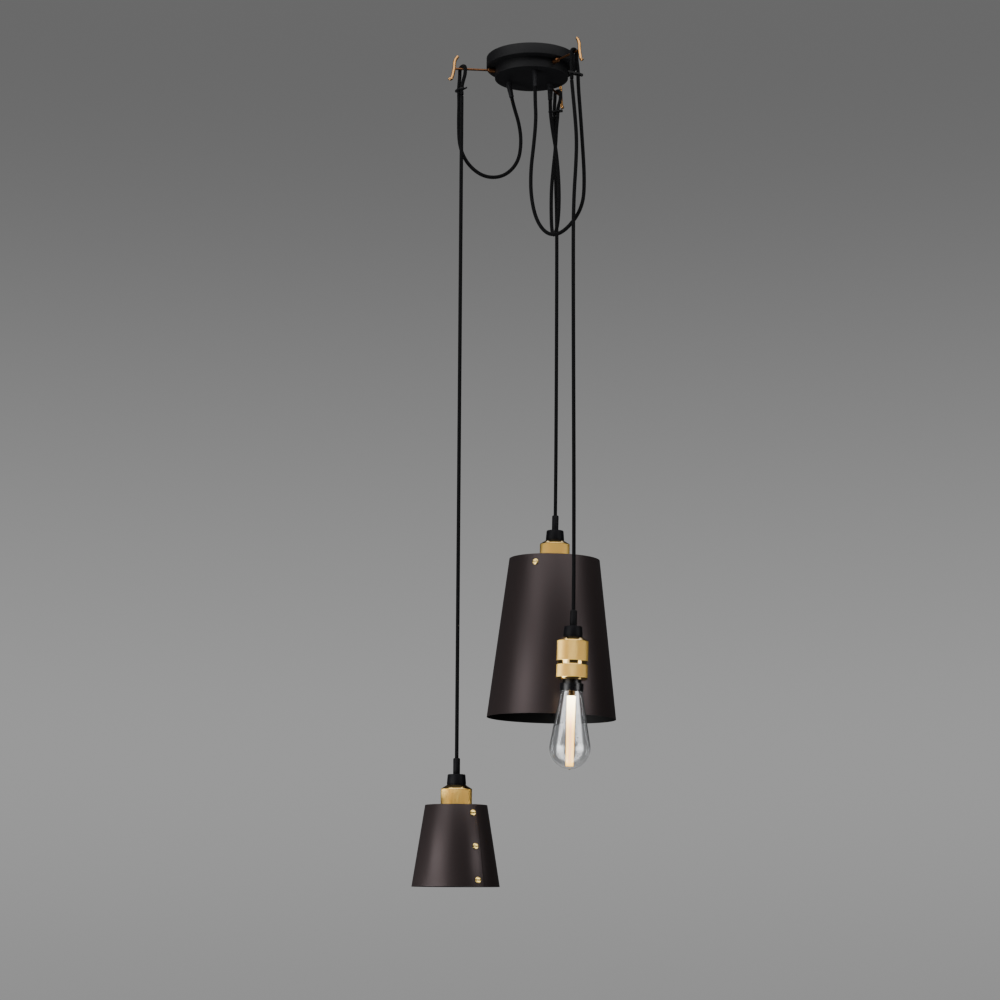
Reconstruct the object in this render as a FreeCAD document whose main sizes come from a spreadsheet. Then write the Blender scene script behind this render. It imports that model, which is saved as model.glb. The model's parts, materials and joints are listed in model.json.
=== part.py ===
import FreeCAD, Part
import math
import os
import re
import Sketcher

Vector = FreeCAD.Vector

# Driving dimensions in millimetres and degrees. Heights on a pendant are measured down from the
# top of its cord sleeve, and heights on the rose down from the ceiling.
SIZES = {
    # Ceiling rose: a wide shallow disc against the ceiling and a smaller one under it
    "disc_height": 18,
    "disc_wall": 1.5,
    "upper_disc_radius": 76,
    "upper_disc_opening": 46,
    "lower_disc_radius": 61.75,
    "boss_radius": 4,
    "boss_circle_radius": 54,
    "boss_first_angle": 6,
    "disc_screw_radius": 1.9,
    "disc_screw_head_radius": 3.6,
    "disc_screw_head_height": 2.2,
    "disc_screw_length": 9,
    "disc_screw_end_gap": 1,
    "screw_gap": 0.1,
    # Fixing strap on the ceiling, with turned-down ears for the side screws
    "strap_end_gap": 4.5,
    "strap_width": 25,
    "strap_thickness": 2,
    "slot_spacing": 100,
    "slot_length": 12,
    "slot_width": 5,
    "supply_hole_radius": 6,
    "ear_drop": 14,
    "ear_width": 16,
    "side_screw_radius": 2,
    "side_screw_length": 10,
    "side_screw_height": 9,
    # Terminal block under the strap
    "terminal_offset": 12,
    "terminal_length": 30,
    "terminal_width": 18,
    "terminal_height": 12,
    "terminal_screw_radius": 1.5,
    "terminal_screw_spacing": 9,
    "terminal_screw_overrun": 1.2,
    # Cord glands in the floor of the lower disc
    "gland_circle_radius": 41,
    "gland_first_angle": 158,
    "gland_lead": 5,
    "gland_nose_length": 23,
    "gland_radius": 5,
    "gland_tip_radius": 3.8,
    "gland_spigot_radius": 4,
    "gland_flange_radius": 7,
    "gland_flange_height": 2,
    "gland_left_lean": 12,
    "gland_right_lean": 0,
    "gland_back_lean": 0,
    # Hooked arms round the lower disc
    "arm_height": 24,
    "arm_first_angle": 186.2,
    "arm_radius": 1.85,
    "arm_reach": 131,
    "arm_tail": 6,
    "arm_gap": 0.05,
    "crossbar_radius": 2.6,
    "crossbar_top": 22,
    "crossbar_top_lean": 6,
    "crossbar_shoulder": 15,
    "crossbar_bottom": 22,
    "crossbar_bottom_lean": 5,
    "crossbar_tip_rise": 5,
    "crossbar_tip_reach": 3.5,
    "collar_radius": 4.3,
    "collar_length": 12.5,
    "nut_radius": 4,
    "nut_length": 3,
    "nut_gap": 0.5,
    # Cord and the ties that hold each loop
    "cord_radius": 3,
    "swing_height": 66,
    "neck_length": 8.3,
    "cord_gap": 0.3,
    "tie_height": 2.8,
    "tie_thickness": 1.1,
    "tie_gap": 0.25,
    "tie_head_length": 5,
    "tie_head_width": 4.5,
    "tie_head_height": 4.4,
    "tie_tail_overhang": 5,
    "tie_left_drop": 60,
    "tie_right_drop": 61,
    "tie_back_drop": 56.5,
    # Where each pendant hangs: the top of its cord sleeve and its lean about Y
    "left_top_x": -117.2,
    "left_top_y": -17,
    "left_top_z": -1181.6,
    "left_tilt": 0,
    "right_top_x": 67.7,
    "right_top_y": -97.5,
    "right_top_z": -952.6,
    "right_tilt": 1.6,
    "back_top_x": 43.6,
    "back_top_y": 109,
    "back_top_z": -766.3,
    "back_tilt": 1.1,
    # Cord sleeve and grip cup on top of the lampholder
    "sleeve_length": 26,
    "sleeve_radius": 5.5,
    "sleeve_edge": 1.5,
    "bore_gap": 0.05,
    "grip_height": 17.5,
    "grip_top_radius": 14.25,
    "grip_bottom_radius": 15.5,
    "grip_edge": 1,
    "cord_stop_wall": 2.5,
    "cord_lead": 36,
    "nipple_radius": 5,
    "nipple_length": 9.5,
    "nipple_end_gap": 0.5,
    # Lampholder: brass barrel, threaded neck, insulating core, screw shell and contact
    "barrel_radius": 25,
    "barrel_edge_radius": 24.5,
    "barrel_shoulder_radius": 16,
    "barrel_shoulder": 5.5,
    "barrel_height": 32.8,
    "barrel_top_wall": 3,
    "neck_radius": 23,
    "neck_height": 21,
    "core_radius": 20.9,
    "core_gap": 0.1,
    "shell_radius": 13.7,
    "shell_wall": 0.5,
    "contact_radius": 2.5,
    "contact_length": 12,
    "contact_head_radius": 4.5,
    "contact_head_height": 2,
    "contact_rest_gap": 1,
    # Knurled ring under the barrel
    "ring_height": 21.6,
    "ring_lip": 2.7,
    "ring_hole_radius": 15.8,
    "ring_gap": 0.05,
    "bare_ring_drop": 4.8,
    # Bulb: screw cap, collar, glass and the light pipe inside it
    "cap_depth": 20.5,
    "cap_radius": 13.1,
    "cap_length": 27,
    "cap_wall": 0.8,
    "cap_crown": 5,
    "button_radius": 4.8,
    "collar_spigot": 6,
    "skirt_radius": 15.25,
    "skirt_height": 7.5,
    "flange_radius": 18.75,
    "flange_height": 12,
    "recess_depth": 8.5,
    "glass_neck_radius": 17.2,
    "glass_wall": 1,
    "left_ball_radius": 22.5,
    "left_ball_drop": 18,
    "right_ball_radius": 32.4,
    "right_ball_drop": 89.5,
    "back_ball_radius": 32.4,
    "back_ball_drop": 89.5,
    "light_base_radius": 7.2,
    "light_base_drop": 7.4,
    "light_pipe_radius": 7.9,
    "light_pipe_end_radius": 7.1,
    "light_pipe_gap": 4.1,
    # Shades: a cone of sheet, lapped and screwed along one side, on a dished top plate
    "shade_wall": 1,
    "left_rim_rise": 7,
    "back_rim_rise": 6.4,
    "left_shade_top_radius": 49.5,
    "left_shade_bottom_radius": 70,
    "left_shade_height": 128.6,
    "left_lap_azimuth": 301,
    "left_lap_angle": 20,
    "back_shade_top_radius": 75.8,
    "back_shade_bottom_radius": 107.4,
    "back_shade_height": 265.8,
    "back_lap_azimuth": 90,
    "back_lap_angle": 13,
    "plate_thickness": 1.2,
    "plate_edge_drop": 4.6,
    "plate_seat_radius": 28,
    "plate_bore_gap": 0.3,
    "plate_flange": 20,
    "plate_gap": 0.05,
    "screw_head_radius": 5,
    "screw_head_height": 1.8,
    "screw_head_flat": 3,
    "screw_head_edge": 1.1,
    "screw_slot_width": 1,
    "screw_slot_depth": 0.8,
    "screw_shank_radius": 1.8,
    "screw_foot_radius": 3.5,
    "screw_foot_height": 1.2,
    "screw_foot_gap": 0.35,
    "screw_hole_depth": 6,
    "screw_hole_rise": 2,
    "left_top_screw_drop": 13.6,
    "left_bottom_screw_rise": 10,
    "back_top_screw_drop": 13.7,
    "back_first_lap_screw_drop": 36,
    "back_bottom_screw_rise": 14,
}

PENDANTS = ("left", "right", "back")
SHADED = ("left", "back")
SHADE_NAMES = {"left": "small_shade", "back": "large_shade"}

# Azimuths of the screws that hold each top plate and aren't on the lap
PLATE_SCREW_AZIMUTHS = {"left": (61, 151), "back": (245, 20, 132)}

# Hand-chosen route points of the slack cord, from below the gland's lead to the swing's top
SWAG_POINTS = {
    "left": [
        (-20, 14, -112), (-16.5, 12, -146), (-22, 9.5, -181), (-45, 4, -207),
        (-77, -1.5, -211), (-105, -5.5, -192), (-121, -7, -160), (-122.5, -7.5, -115),
        (-121.8, -8.5, -84), (-122.4, -9.8, -68), (-122.4, -9.8, -53), (-121, -7.4, -36),
        (-121, -7.4, -19), (-111.6, -17.8, -19), (-111.6, -17.8, -34), (-114.8, -17.4, -45.5),
        (-117.2, -17, -55.5),
    ],
    "right": [
        (7.3, -44, -122), (3.6, -48.5, -168), (-1.6, -53, -214), (-1.2, -58.5, -261),
        (7.5, -64, -303), (24.5, -71.5, -329), (45.5, -80, -332), (68, -85.5, -312),
        (84, -88, -282), (86.3, -88, -240), (83, -88.5, -180), (79.3, -89.5, -124),
        (77, -90.3, -94), (75.8, -91.1, -72), (75.8, -91.3, -54), (73.4, -91.3, -36),
        (73.4, -91.3, -19), (64.8, -97.5, -19), (64.8, -97.5, -34), (65, -97.9, -49),
    ],
    "back": [
        (36, 25.8, -116), (42.3, 27.5, -152), (46.3, 29.2, -193), (47.8, 31, -234),
        (46.6, 32.8, -268), (44.2, 43.8, -285), (40.7, 62, -291), (37.9, 80.2, -285),
        (36.2, 91.2, -268), (35.5, 92.4, -236), (36, 92, -198), (39.5, 94, -160), (43.2, 97.5, -124),
        (44.5, 100.5, -92), (47, 105.3, -66), (47.2, 105.7, -50), (52.1, 104.9, -35),
        (52.1, 104.9, -19), (42.4, 109.2, -19), (42.4, 109.2, -33), (41.2, 108.5, -48),
    ],
}

# Length of the straight lead that a slack cord makes out of its gland
LEAD_RUNS = {"left": 15, "right": 24, "back": 20}

# Where each cord passes the swing, and the other strand's place inside the tie
DROP_STRANDS = {"left": (-117.2, -17), "right": (65.1, -97.5), "back": (41.2, 108.3)}
SWAG_STRANDS = {"left": (-122.4, -9.8), "right": (75.8, -91.2), "back": (47.15, 105.55)}

# Hand-chosen route points of the hanging cord, from below the swing to the long straight stretch.
# The left cord hangs straight all the way.
DROP_POINTS = {
    "left": [],
    "right": [
        (66.8, -97.5, -94), (70.6, -97.5, -136), (73.2, -97.5, -176), (71.9, -97.5, -218),
        (68.4, -97.5, -272), (67.1, -97.5, -350),
    ],
    "back": [
        (41.6, 108.3, -92), (43.2, 108.4, -124), (43.6, 108.5, -180), (45.2, 108.6, -232),
        (45.9, 108.7, -310),
    ],
}

ARC_SHARE = 0.45

doc = FreeCAD.newDocument("pendant_light")
sheet = doc.addObject("Spreadsheet::Sheet", "sizes")
for row, (alias, number) in enumerate(SIZES.items(), start=1):
    sheet.set("A%d" % row, alias)
    sheet.set("B%d" % row, str(number))
    sheet.setAlias("B%d" % row, alias)
doc.recompute()

nodes = []


def formula(text):
    """Turns the plain size names of a formula into references to the sheet's cells."""
    text = str(text)
    return re.sub(r"[a-z][a-z_]*", lambda name: "sizes." + name[0] if name[0] in SIZES else name[0], text)


def value(text):
    """The number that a formula of sizes gives."""
    found = sheet.evalExpression(formula(text))
    return float(getattr(found, "Value", found))


def bind(thing, prop, text):
    """Ties one property to a formula of sizes."""
    thing.setExpression(prop, formula(text))


def node(thing, label):
    """Names a finished sub-part and puts it on the list of files."""
    thing.Label = label
    nodes.append(thing)
    return thing


def origin_plane(body, role):
    return next(feature for feature in body.Origin.OriginFeatures if feature.Role == role)


def pin_corner(sketch, edge, corner):
    """Holds the start of a sketch edge at a corner given as two formulas."""
    for kind, text in zip(("DistanceX", "DistanceY"), corner):
        number = sketch.addConstraint(Sketcher.Constraint(kind, -1, 1, edge, 1, value(text)))
        sketch.setExpression("Constraints[%d]" % number, formula(text))


def outline(body, corners, role="XZ_Plane"):
    """A closed sketch of straight edges through corners given as formulas."""
    sketch = body.newObject("Sketcher::SketchObject", "outline")
    sketch.AttachmentSupport = (origin_plane(body, role), [""])
    sketch.MapMode = "FlatFace"
    spots = [Vector(value(across), value(up), 0) for across, up in corners]
    for start, end in zip(spots, spots[1:] + spots[:1]):
        sketch.addGeometry(Part.LineSegment(start, end), False)
    for edge in range(len(corners)):
        following = (edge + 1) % len(corners)
        sketch.addConstraint(Sketcher.Constraint("Coincident", edge, 2, following, 1))
    for edge, corner in enumerate(corners):
        pin_corner(sketch, edge, corner)
    return sketch


def revolve(body, sketch, angle="360"):
    """Turns a sketch about its own upright axis, evenly to both sides of its plane."""
    turning = body.newObject("PartDesign::Revolution", "turning")
    turning.Profile = sketch
    turning.ReferenceAxis = (sketch, ["V_Axis"])
    turning.Midplane = True
    turning.Angle = value(angle)
    bind(turning, "Angle", angle)


def turned(label, corners, angle="360"):
    """A turned piece: corners are pairs of radius and height."""
    body = doc.addObject("PartDesign::Body", label)
    revolve(body, outline(body, corners), angle)
    return body


def round_bar(radius, length, base=("0", "0", "0"), axis=Vector(0, 0, 1)):
    """A plain cylinder that starts at base and runs along an axis."""
    bar = doc.addObject("Part::Cylinder", "round_bar")
    bar.Placement = FreeCAD.Placement(Vector(), FreeCAD.Rotation(Vector(0, 0, 1), axis))
    bind(bar, "Radius", radius)
    bind(bar, "Height", length)
    move(bar, base)
    return bar


def block(length, width, height, base):
    """A box whose lowest corner is at base."""
    box = doc.addObject("Part::Box", "block")
    bind(box, "Length", length)
    bind(box, "Width", width)
    bind(box, "Height", height)
    move(box, base)
    return box


def move(thing, base):
    for axis, text in zip("xyz", base):
        bind(thing, "Placement.Base." + axis, text)


def turn(thing, angle, axis=Vector(0, 0, 1)):
    """Turns a piece about an axis through the origin of what it is drawn in."""
    thing.Placement = FreeCAD.Placement(thing.Placement.Base, FreeCAD.Rotation(axis, 1))
    bind(thing, "Placement.Rotation.Angle", angle)
    return thing


def hang(thing, side):
    """Puts a piece drawn down from the sleeve's top onto one pendant."""
    turn(thing, side + "_tilt", Vector(0, 1, 0))
    move(thing, [side + "_top_" + axis for axis in "xyz"])
    return thing


def fused(label, pieces):
    union = doc.addObject("Part::MultiFuse", label)
    union.Shapes = pieces
    return union


def cut(label, base, tools):
    """Takes one or more tools out of a base."""
    difference = doc.addObject("Part::Cut", label)
    difference.Base = base
    difference.Tool = tools[0] if len(tools) == 1 else fused(label + "_tools", tools)
    return difference


def group(label, pieces):
    """Separate solids that share one node."""
    together = doc.addObject("Part::Compound", label)
    together.Links = pieces
    return together


def solid(label, shape):
    """A piece whose shape is worked out in this file."""
    feature = doc.addObject("Part::Feature", label)
    feature.Shape = shape
    return feature


# Cords and bent bars


def bent_wire(points):
    """Straight runs joined by tangent arcs, each as large as its two runs allow."""
    edges = []
    radii = []
    here = points[0]
    for before, corner, after in zip(points, points[1:], points[2:]):
        into = (corner - before).normalize()
        out = (after - corner).normalize()
        half_turn = into.getAngle(out) / 2
        reach = ARC_SHARE * min((corner - before).Length, (after - corner).Length)
        radius = reach / math.tan(half_turn)
        start = corner - into * reach
        end = corner + out * reach
        inward = (out - into).normalize()
        middle = corner + inward * radius * (1 / math.cos(half_turn) - 1)
        edges.append(Part.LineSegment(here, start).toShape())
        edges.append(Part.Arc(start, middle, end).toShape())
        radii.append(radius)
        here = end
    edges.append(Part.LineSegment(here, points[-1]).toShape())
    return Part.Wire(edges), radii


def rod_along(label, points, radius, report=True):
    """A round rod along a route, with its volume set against its section times its length."""
    wire, radii = bent_wire(points)
    direction = points[1] - points[0]
    ring = Part.Wire(Part.makeCircle(radius, points[0], direction))
    rod = wire.makePipeShell([ring], True, False)
    expected = math.pi * radius ** 2 * wire.Length
    if report:
        print("%s length %.1f volume share %.5f tightest radii %s" % (
            label, wire.Length, rod.Volume / expected,
            " ".join("%.0f" % radius for radius in sorted(radii)[:4]) or "none"))
    return rod


def domed_start(rod, points, radius):
    """Rounds the first end of a rod with half a ball."""
    upward = points[0] - points[1]
    half_ball = Part.makeSphere(radius, points[0], upward, 0, 90, 360)
    return rod.fuse(half_ball).removeSplitter()


def vectors(points):
    return [Vector(*point) for point in points]


# Heights down a pendant, as formulas

GRIP_TOP = "sleeve_length"
GRIP_END = "(sleeve_length + grip_height)"
SHOULDER_END = "(sleeve_length + grip_height + barrel_shoulder)"
BARREL_END = "(sleeve_length + grip_height + barrel_shoulder + barrel_height)"
NECK_END = "(%s + neck_height)" % BARREL_END
CORE_TOP = "(%s + barrel_top_wall)" % SHOULDER_END
CAP_TOP = "(%s - cap_depth)" % NECK_END
CAP_END = "(%s + cap_length)" % CAP_TOP
SKIRT_END = "(%s + skirt_height)" % CAP_END
FLANGE_END = "(%s + flange_height)" % SKIRT_END
RECESS_FLOOR = "(%s - recess_depth)" % FLANGE_END
CORD_STOP = "(%s - cord_stop_wall)" % GRIP_END
CONTACT_HEAD_TOP = "(%s - contact_head_height)" % CAP_TOP
CAVITY_FLOOR = "(%s - contact_rest_gap)" % CONTACT_HEAD_TOP
CONTACT_TOP = "(%s - contact_length)" % CONTACT_HEAD_TOP
CORD_BORE = "(cord_radius + bore_gap)"
CORE_CAVITY = "(shell_radius + bore_gap)"
FLOOR_TOP = "(2 * disc_height - disc_wall)"


def ring_top(side):
    if side in SHADED:
        return "(%s + plate_thickness)" % BARREL_END
    return "(%s + bare_ring_drop)" % BARREL_END


# Ceiling rose


def arm_angle(side):
    return "(arm_first_angle + %d)" % (120 * PENDANTS.index(side))


def gland_angle(side):
    return "(gland_first_angle + %d)" % (120 * PENDANTS.index(side))


def around_z(radius, angle):
    """The x and y formulas of a point on a circle about the rose's axis."""
    return "%s * cos(%s * 1 deg)" % (radius, angle), "%s * sin(%s * 1 deg)" % (radius, angle)


def boss_spots():
    return [around_z("boss_circle_radius", "(boss_first_angle + %d)" % (120 * count)) for count in range(3)]


def ceiling_bracket():
    """A strap that reaches almost to the upper disc's wall, with an ear at each end."""
    half = "(upper_disc_radius - disc_wall - strap_end_gap)"
    strap = block("2 * " + half, "strap_width", "strap_thickness",
                  ("-" + half, "-strap_width / 2", "-strap_thickness"))
    ears = []
    for start in ("-" + half, half + " - strap_thickness"):
        ears.append(block("strap_thickness", "ear_width", "ear_drop + strap_thickness",
                          (start, "-ear_width / 2", "-strap_thickness - ear_drop")))
    holes = [round_bar("supply_hole_radius", "2 * strap_thickness", ("0", "0", "-1.5 * strap_thickness"))]
    for side in ("-", ""):
        middle = "%sslot_spacing / 2" % side
        half_run = "(slot_length - slot_width) / 2"
        through = ("2 * strap_thickness", "-1.5 * strap_thickness")
        for end in ("-", "+"):
            spot = "%s %s %s" % (middle, end, half_run)
            holes.append(round_bar("slot_width / 2", through[0], (spot, "0", through[1])))
        holes.append(block("slot_length - slot_width", "slot_width", through[0],
                           ("%s - %s" % (middle, half_run), "-slot_width / 2", through[1])))
    for side in ("-1", "1"):
        start = "%s * %s - strap_thickness * 1.5" % (side, half)
        holes.append(round_bar("side_screw_radius + bore_gap", "3 * strap_thickness",
                               (start, "0", "-side_screw_height"), Vector(1, 0, 0)))
    node(cut("ceiling_bracket", fused("bracket_blank", [strap] + ears), holes), "ceiling_bracket")


def rose_upper_disc():
    shell = turned("upper_shell", [
        ("upper_disc_opening", "-disc_height"), ("upper_disc_radius", "-disc_height"),
        ("upper_disc_radius", "0"), ("upper_disc_radius - disc_wall", "0"),
        ("upper_disc_radius - disc_wall", "disc_wall - disc_height"),
        ("upper_disc_opening", "disc_wall - disc_height")])
    holes = []
    for spot in boss_spots():
        holes.append(round_bar("disc_screw_radius + screw_gap", "3 * disc_wall",
                               (*spot, "-disc_height - disc_wall")))
    for side in ("-1", "1"):
        start = "%s * (upper_disc_radius - disc_wall / 2) - 2 * disc_wall" % side
        holes.append(round_bar("side_screw_radius + screw_gap", "4 * disc_wall",
                               (start, "0", "-side_screw_height"), Vector(1, 0, 0)))
    node(cut("rose_upper_disc", shell, holes), "rose_upper_disc")


def rose_lower_disc():
    shell = turned("lower_shell", [
        ("0", "-2 * disc_height"), ("lower_disc_radius", "-2 * disc_height"),
        ("lower_disc_radius", "-disc_height"), ("lower_disc_radius - disc_wall", "-disc_height"),
        ("lower_disc_radius - disc_wall", "-" + FLOOR_TOP), ("0", "-" + FLOOR_TOP)])
    bosses = []
    holes = []
    for spot in boss_spots():
        bosses.append(round_bar("boss_radius", "disc_height - disc_wall / 2",
                                (*spot, "disc_wall / 2 - 2 * disc_height")))
        holes.append(round_bar("disc_screw_radius + bore_gap", "disc_screw_length",
                               (*spot, "-disc_height - disc_screw_length + disc_wall")))
    for side in PENDANTS:
        spot = around_z("gland_circle_radius", gland_angle(side))
        holes.append(round_bar("gland_spigot_radius + bore_gap", "3 * disc_wall",
                               (*spot, "-2 * disc_height - disc_wall")))
        hole = round_bar("arm_radius + bore_gap", "4 * disc_wall",
                         ("lower_disc_radius - 3 * disc_wall", "0", "-arm_height"), Vector(1, 0, 0))
        holes.append(turn(group("arm_hole", [hole]), arm_angle(side)))
    node(cut("rose_lower_disc", fused("lower_blank", [shell] + bosses), holes), "rose_lower_disc")


def terminal_block():
    body = block("terminal_length", "terminal_width", "terminal_height",
                 ("terminal_offset", "-terminal_width / 2", "-strap_thickness - terminal_height"))
    holes = []
    for count in (-1, 0, 1):
        spot = "terminal_offset + terminal_length / 2 + %d * terminal_screw_spacing" % count
        holes.append(round_bar("terminal_screw_radius", "terminal_height / 2",
                               (spot, "terminal_width / 4",
                                "-strap_thickness - terminal_height - terminal_screw_overrun")))
    node(cut("terminal_block", body, holes), "terminal_block")


def rose_screws():
    """Three screws down through the upper disc into the bosses, and two side screws into the ears."""
    screws = []
    for spot in boss_spots():
        screw = turned("disc_screw", [
            ("0", "disc_wall + disc_screw_end_gap - disc_screw_length"),
            ("disc_screw_radius", "disc_wall + disc_screw_end_gap - disc_screw_length"),
            ("disc_screw_radius", "disc_wall"), ("disc_screw_head_radius", "disc_wall"),
            ("disc_screw_head_radius", "disc_wall + disc_screw_head_height"),
            ("0", "disc_wall + disc_screw_head_height")])
        move(screw, (*spot, "-disc_height"))
        screws.append(screw)
    for start in ("-upper_disc_radius", "upper_disc_radius - side_screw_length"):
        screws.append(round_bar("side_screw_radius", "side_screw_length",
                                (start, "0", "-side_screw_height"), Vector(1, 0, 0)))
    node(group("rose_screws", screws), "rose_screws")


def cord_glands():
    glands = []
    for side in PENDANTS:
        root = turned("gland_root", [
            ("0", "-gland_lead"), ("gland_radius", "-gland_lead"), ("gland_radius", "0"),
            ("gland_spigot_radius", "0"), ("gland_spigot_radius", "disc_wall"),
            ("gland_flange_radius", "disc_wall"), ("gland_flange_radius", "disc_wall + gland_flange_height"),
            ("0", "disc_wall + gland_flange_height")])
        knuckle = doc.addObject("Part::Sphere", "gland_knuckle")
        bind(knuckle, "Radius", "gland_radius")
        nose = doc.addObject("Part::Cone", "gland_nose")
        bind(nose, "Radius1", "gland_tip_radius")
        bind(nose, "Radius2", "gland_radius")
        bind(nose, "Height", "gland_nose_length")
        move(nose, ("0", "0", "-gland_nose_length"))
        leaning = turn(group("gland_leaning", [nose]), "-gland_%s_lean" % side, Vector(0, 1, 0))
        lower = group("gland_lower", [fused("gland_end", [knuckle, leaning])])
        move(lower, ("0", "0", "-gland_lead"))
        gland = fused("gland", [root, lower])
        move(gland, (*around_z("gland_circle_radius", gland_angle(side)), "-2 * disc_height"))
        glands.append(gland)
    node(group("cord_glands", glands), "cord_glands")


# Hooked arms


def hook(side):
    """A straight arm out of the rose with an upright crossbar, bent as the hand leaves it."""
    lift = value("-arm_height")
    bar_points = vectors([
        (value("arm_reach - crossbar_top_lean"), 0, lift + value("crossbar_top")),
        (value("arm_reach"), 0, lift + value("crossbar_shoulder")),
        (value("arm_reach"), 0, lift),
        (value("arm_reach + crossbar_bottom_lean"), 0, lift - value("crossbar_bottom")),
        (value("arm_reach + crossbar_bottom_lean + crossbar_tip_reach"), 0,
         lift - value("crossbar_bottom - crossbar_tip_rise"))])
    crossbar = solid("crossbar", rod_along("crossbar", bar_points, value("crossbar_radius"), False))
    inner_end = "(lower_disc_radius - disc_wall - arm_tail)"
    arm = round_bar("arm_radius", "arm_reach - " + inner_end, (inner_end, "0", "-arm_height"), Vector(1, 0, 0))
    node(turn(fused("hook", [arm, crossbar]), arm_angle(side)), "hook_" + side)


def hook_fixings():
    """A turned collar outside the disc's wall and a nut inside it, on each arm."""
    pieces = []
    for side in PENDANTS:
        seats = (("collar_radius", "collar_length", "lower_disc_radius"),
                 ("nut_radius", "nut_length", "lower_disc_radius - disc_wall - nut_length - nut_gap"))
        for radius, length, start in seats:
            blank = round_bar(radius, length, (start, "0", "-arm_height"), Vector(1, 0, 0))
            bore = round_bar("arm_radius + arm_gap", "2 * " + length,
                             ("%s - %s / 2" % (start, length), "0", "-arm_height"), Vector(1, 0, 0))
            pieces.append(turn(cut("arm_sleeve", blank, [bore]), arm_angle(side)))
    node(group("hook_fixings", pieces), "hook_fixings")


# Slack cords, ties, necks and hanging cords


def gland_tip(side):
    """The end of a gland and the direction in which its cord leaves."""
    x, y = (value(text) for text in around_z("gland_circle_radius", gland_angle(side)))
    lean = math.radians(value("gland_%s_lean" % side))
    away = Vector(math.sin(lean), 0, -math.cos(lean))
    root = Vector(x, y, value("-2 * disc_height - gland_lead"))
    return root + away * value("gland_nose_length"), away


def cord_swag(side):
    tip, away = gland_tip(side)
    end = Vector(*DROP_STRANDS[side], value("cord_radius + cord_gap - swing_height"))
    points = [tip, tip + away * LEAD_RUNS[side]] + vectors(SWAG_POINTS[side]) + [end]
    label = "cord_swag_" + side
    node(solid(label, rod_along(label, points, value("cord_radius"))), label)


def cord_neck(side):
    """The short length of cord between the two swing axes."""
    top = Vector(*DROP_STRANDS[side], value("-swing_height"))
    end = Vector(*DROP_STRANDS[side], value("cord_radius + cord_gap - swing_height - neck_length"))
    points = [top, end]
    label = "cord_neck_" + side
    rod = rod_along(label, points, value("cord_radius"), False)
    node(solid(label, domed_start(rod, points, value("cord_radius"))), label)


def down_pendant(side, depth):
    """A point on a pendant's own axis, at a depth below its sleeve's top."""
    tilt = math.radians(value(side + "_tilt"))
    top = Vector(*(value(side + "_top_" + axis) for axis in "xyz"))
    return top - Vector(math.sin(tilt), 0, math.cos(tilt)) * depth


def cord_drop(side):
    start = Vector(*DROP_STRANDS[side], value("-swing_height - neck_length"))
    points = [start] + vectors(DROP_POINTS[side])
    if DROP_POINTS[side]:
        points.append(down_pendant(side, -value("cord_lead")))
    points.append(down_pendant(side, value(CORD_STOP)))
    label = "cord_drop_" + side
    rod = rod_along(label, points, value("cord_radius"))
    node(solid(label, domed_start(rod, points, value("cord_radius"))), label)


def stadium(radius, gap, height):
    """Two round ends and the block between them: the room that two cords side by side take."""
    ends = [round_bar(radius, height), round_bar(radius, height, (gap, "0", "0"))]
    return fused("stadium", ends + [block(gap, "2 * " + radius, height, ("0", "-" + radius, "0"))])


def cable_ties():
    """A strap round both strands of each loop, with its head and its clipped tail."""
    ties = []
    for side in PENDANTS:
        first = Vector(*DROP_STRANDS[side], 0)
        across = Vector(*SWAG_STRANDS[side], 0) - first
        gap = "%.3f" % across.Length
        inner = "(cord_radius + tie_gap)"
        outer = "(cord_radius + tie_gap + tie_thickness)"
        hole = stadium(inner, gap, "2 * tie_height")
        hole_lift = group("tie_hole", [hole])
        move(hole_lift, ("0", "0", "-tie_height / 2"))
        band = cut("tie_band", stadium(outer, gap, "tie_height"), [hole_lift])
        head = block("tie_head_length", "tie_head_width", "tie_head_height",
                     (gap + " + " + inner, "-tie_head_width / 2", "(tie_height - tie_head_height) / 2"))
        tail = block(gap + " + tie_tail_overhang + " + outer, "tie_thickness", "tie_height",
                     ("-tie_tail_overhang - " + outer, "-" + outer, "0"))
        tie = turn(fused("tie", [band, head, tail]), "%.3f" % math.degrees(math.atan2(across.y, across.x)))
        move(tie, ("%.3f" % first.x, "%.3f" % first.y, "-tie_%s_drop - tie_height / 2" % side))
        ties.append(tie)
    node(group("cable_ties", ties), "cable_ties")


# Lampholder, drawn down from the sleeve's top


def cord_sleeve(side):
    piece = turned("cord_sleeve", [
        (CORD_BORE, "0"), ("sleeve_radius - sleeve_edge", "0"), ("sleeve_radius", "-sleeve_edge"),
        ("sleeve_radius", "-" + GRIP_TOP), (CORD_BORE, "-" + GRIP_TOP)])
    node(hang(piece, side), "cord_sleeve_" + side)


def cord_grip(side):
    piece = turned("cord_grip", [
        (CORD_BORE, "-" + GRIP_TOP), ("grip_top_radius - grip_edge", "-" + GRIP_TOP),
        ("grip_top_radius", "-%s - grip_edge" % GRIP_TOP), ("grip_bottom_radius", "-" + GRIP_END),
        ("nipple_radius", "-" + GRIP_END), ("nipple_radius", "-%s - nipple_length" % GRIP_END),
        ("0", "-%s - nipple_length" % GRIP_END), ("0", "-%s" % CORD_STOP), (CORD_BORE, "-" + CORD_STOP)])
    node(hang(piece, side), "cord_grip_" + side)


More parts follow.
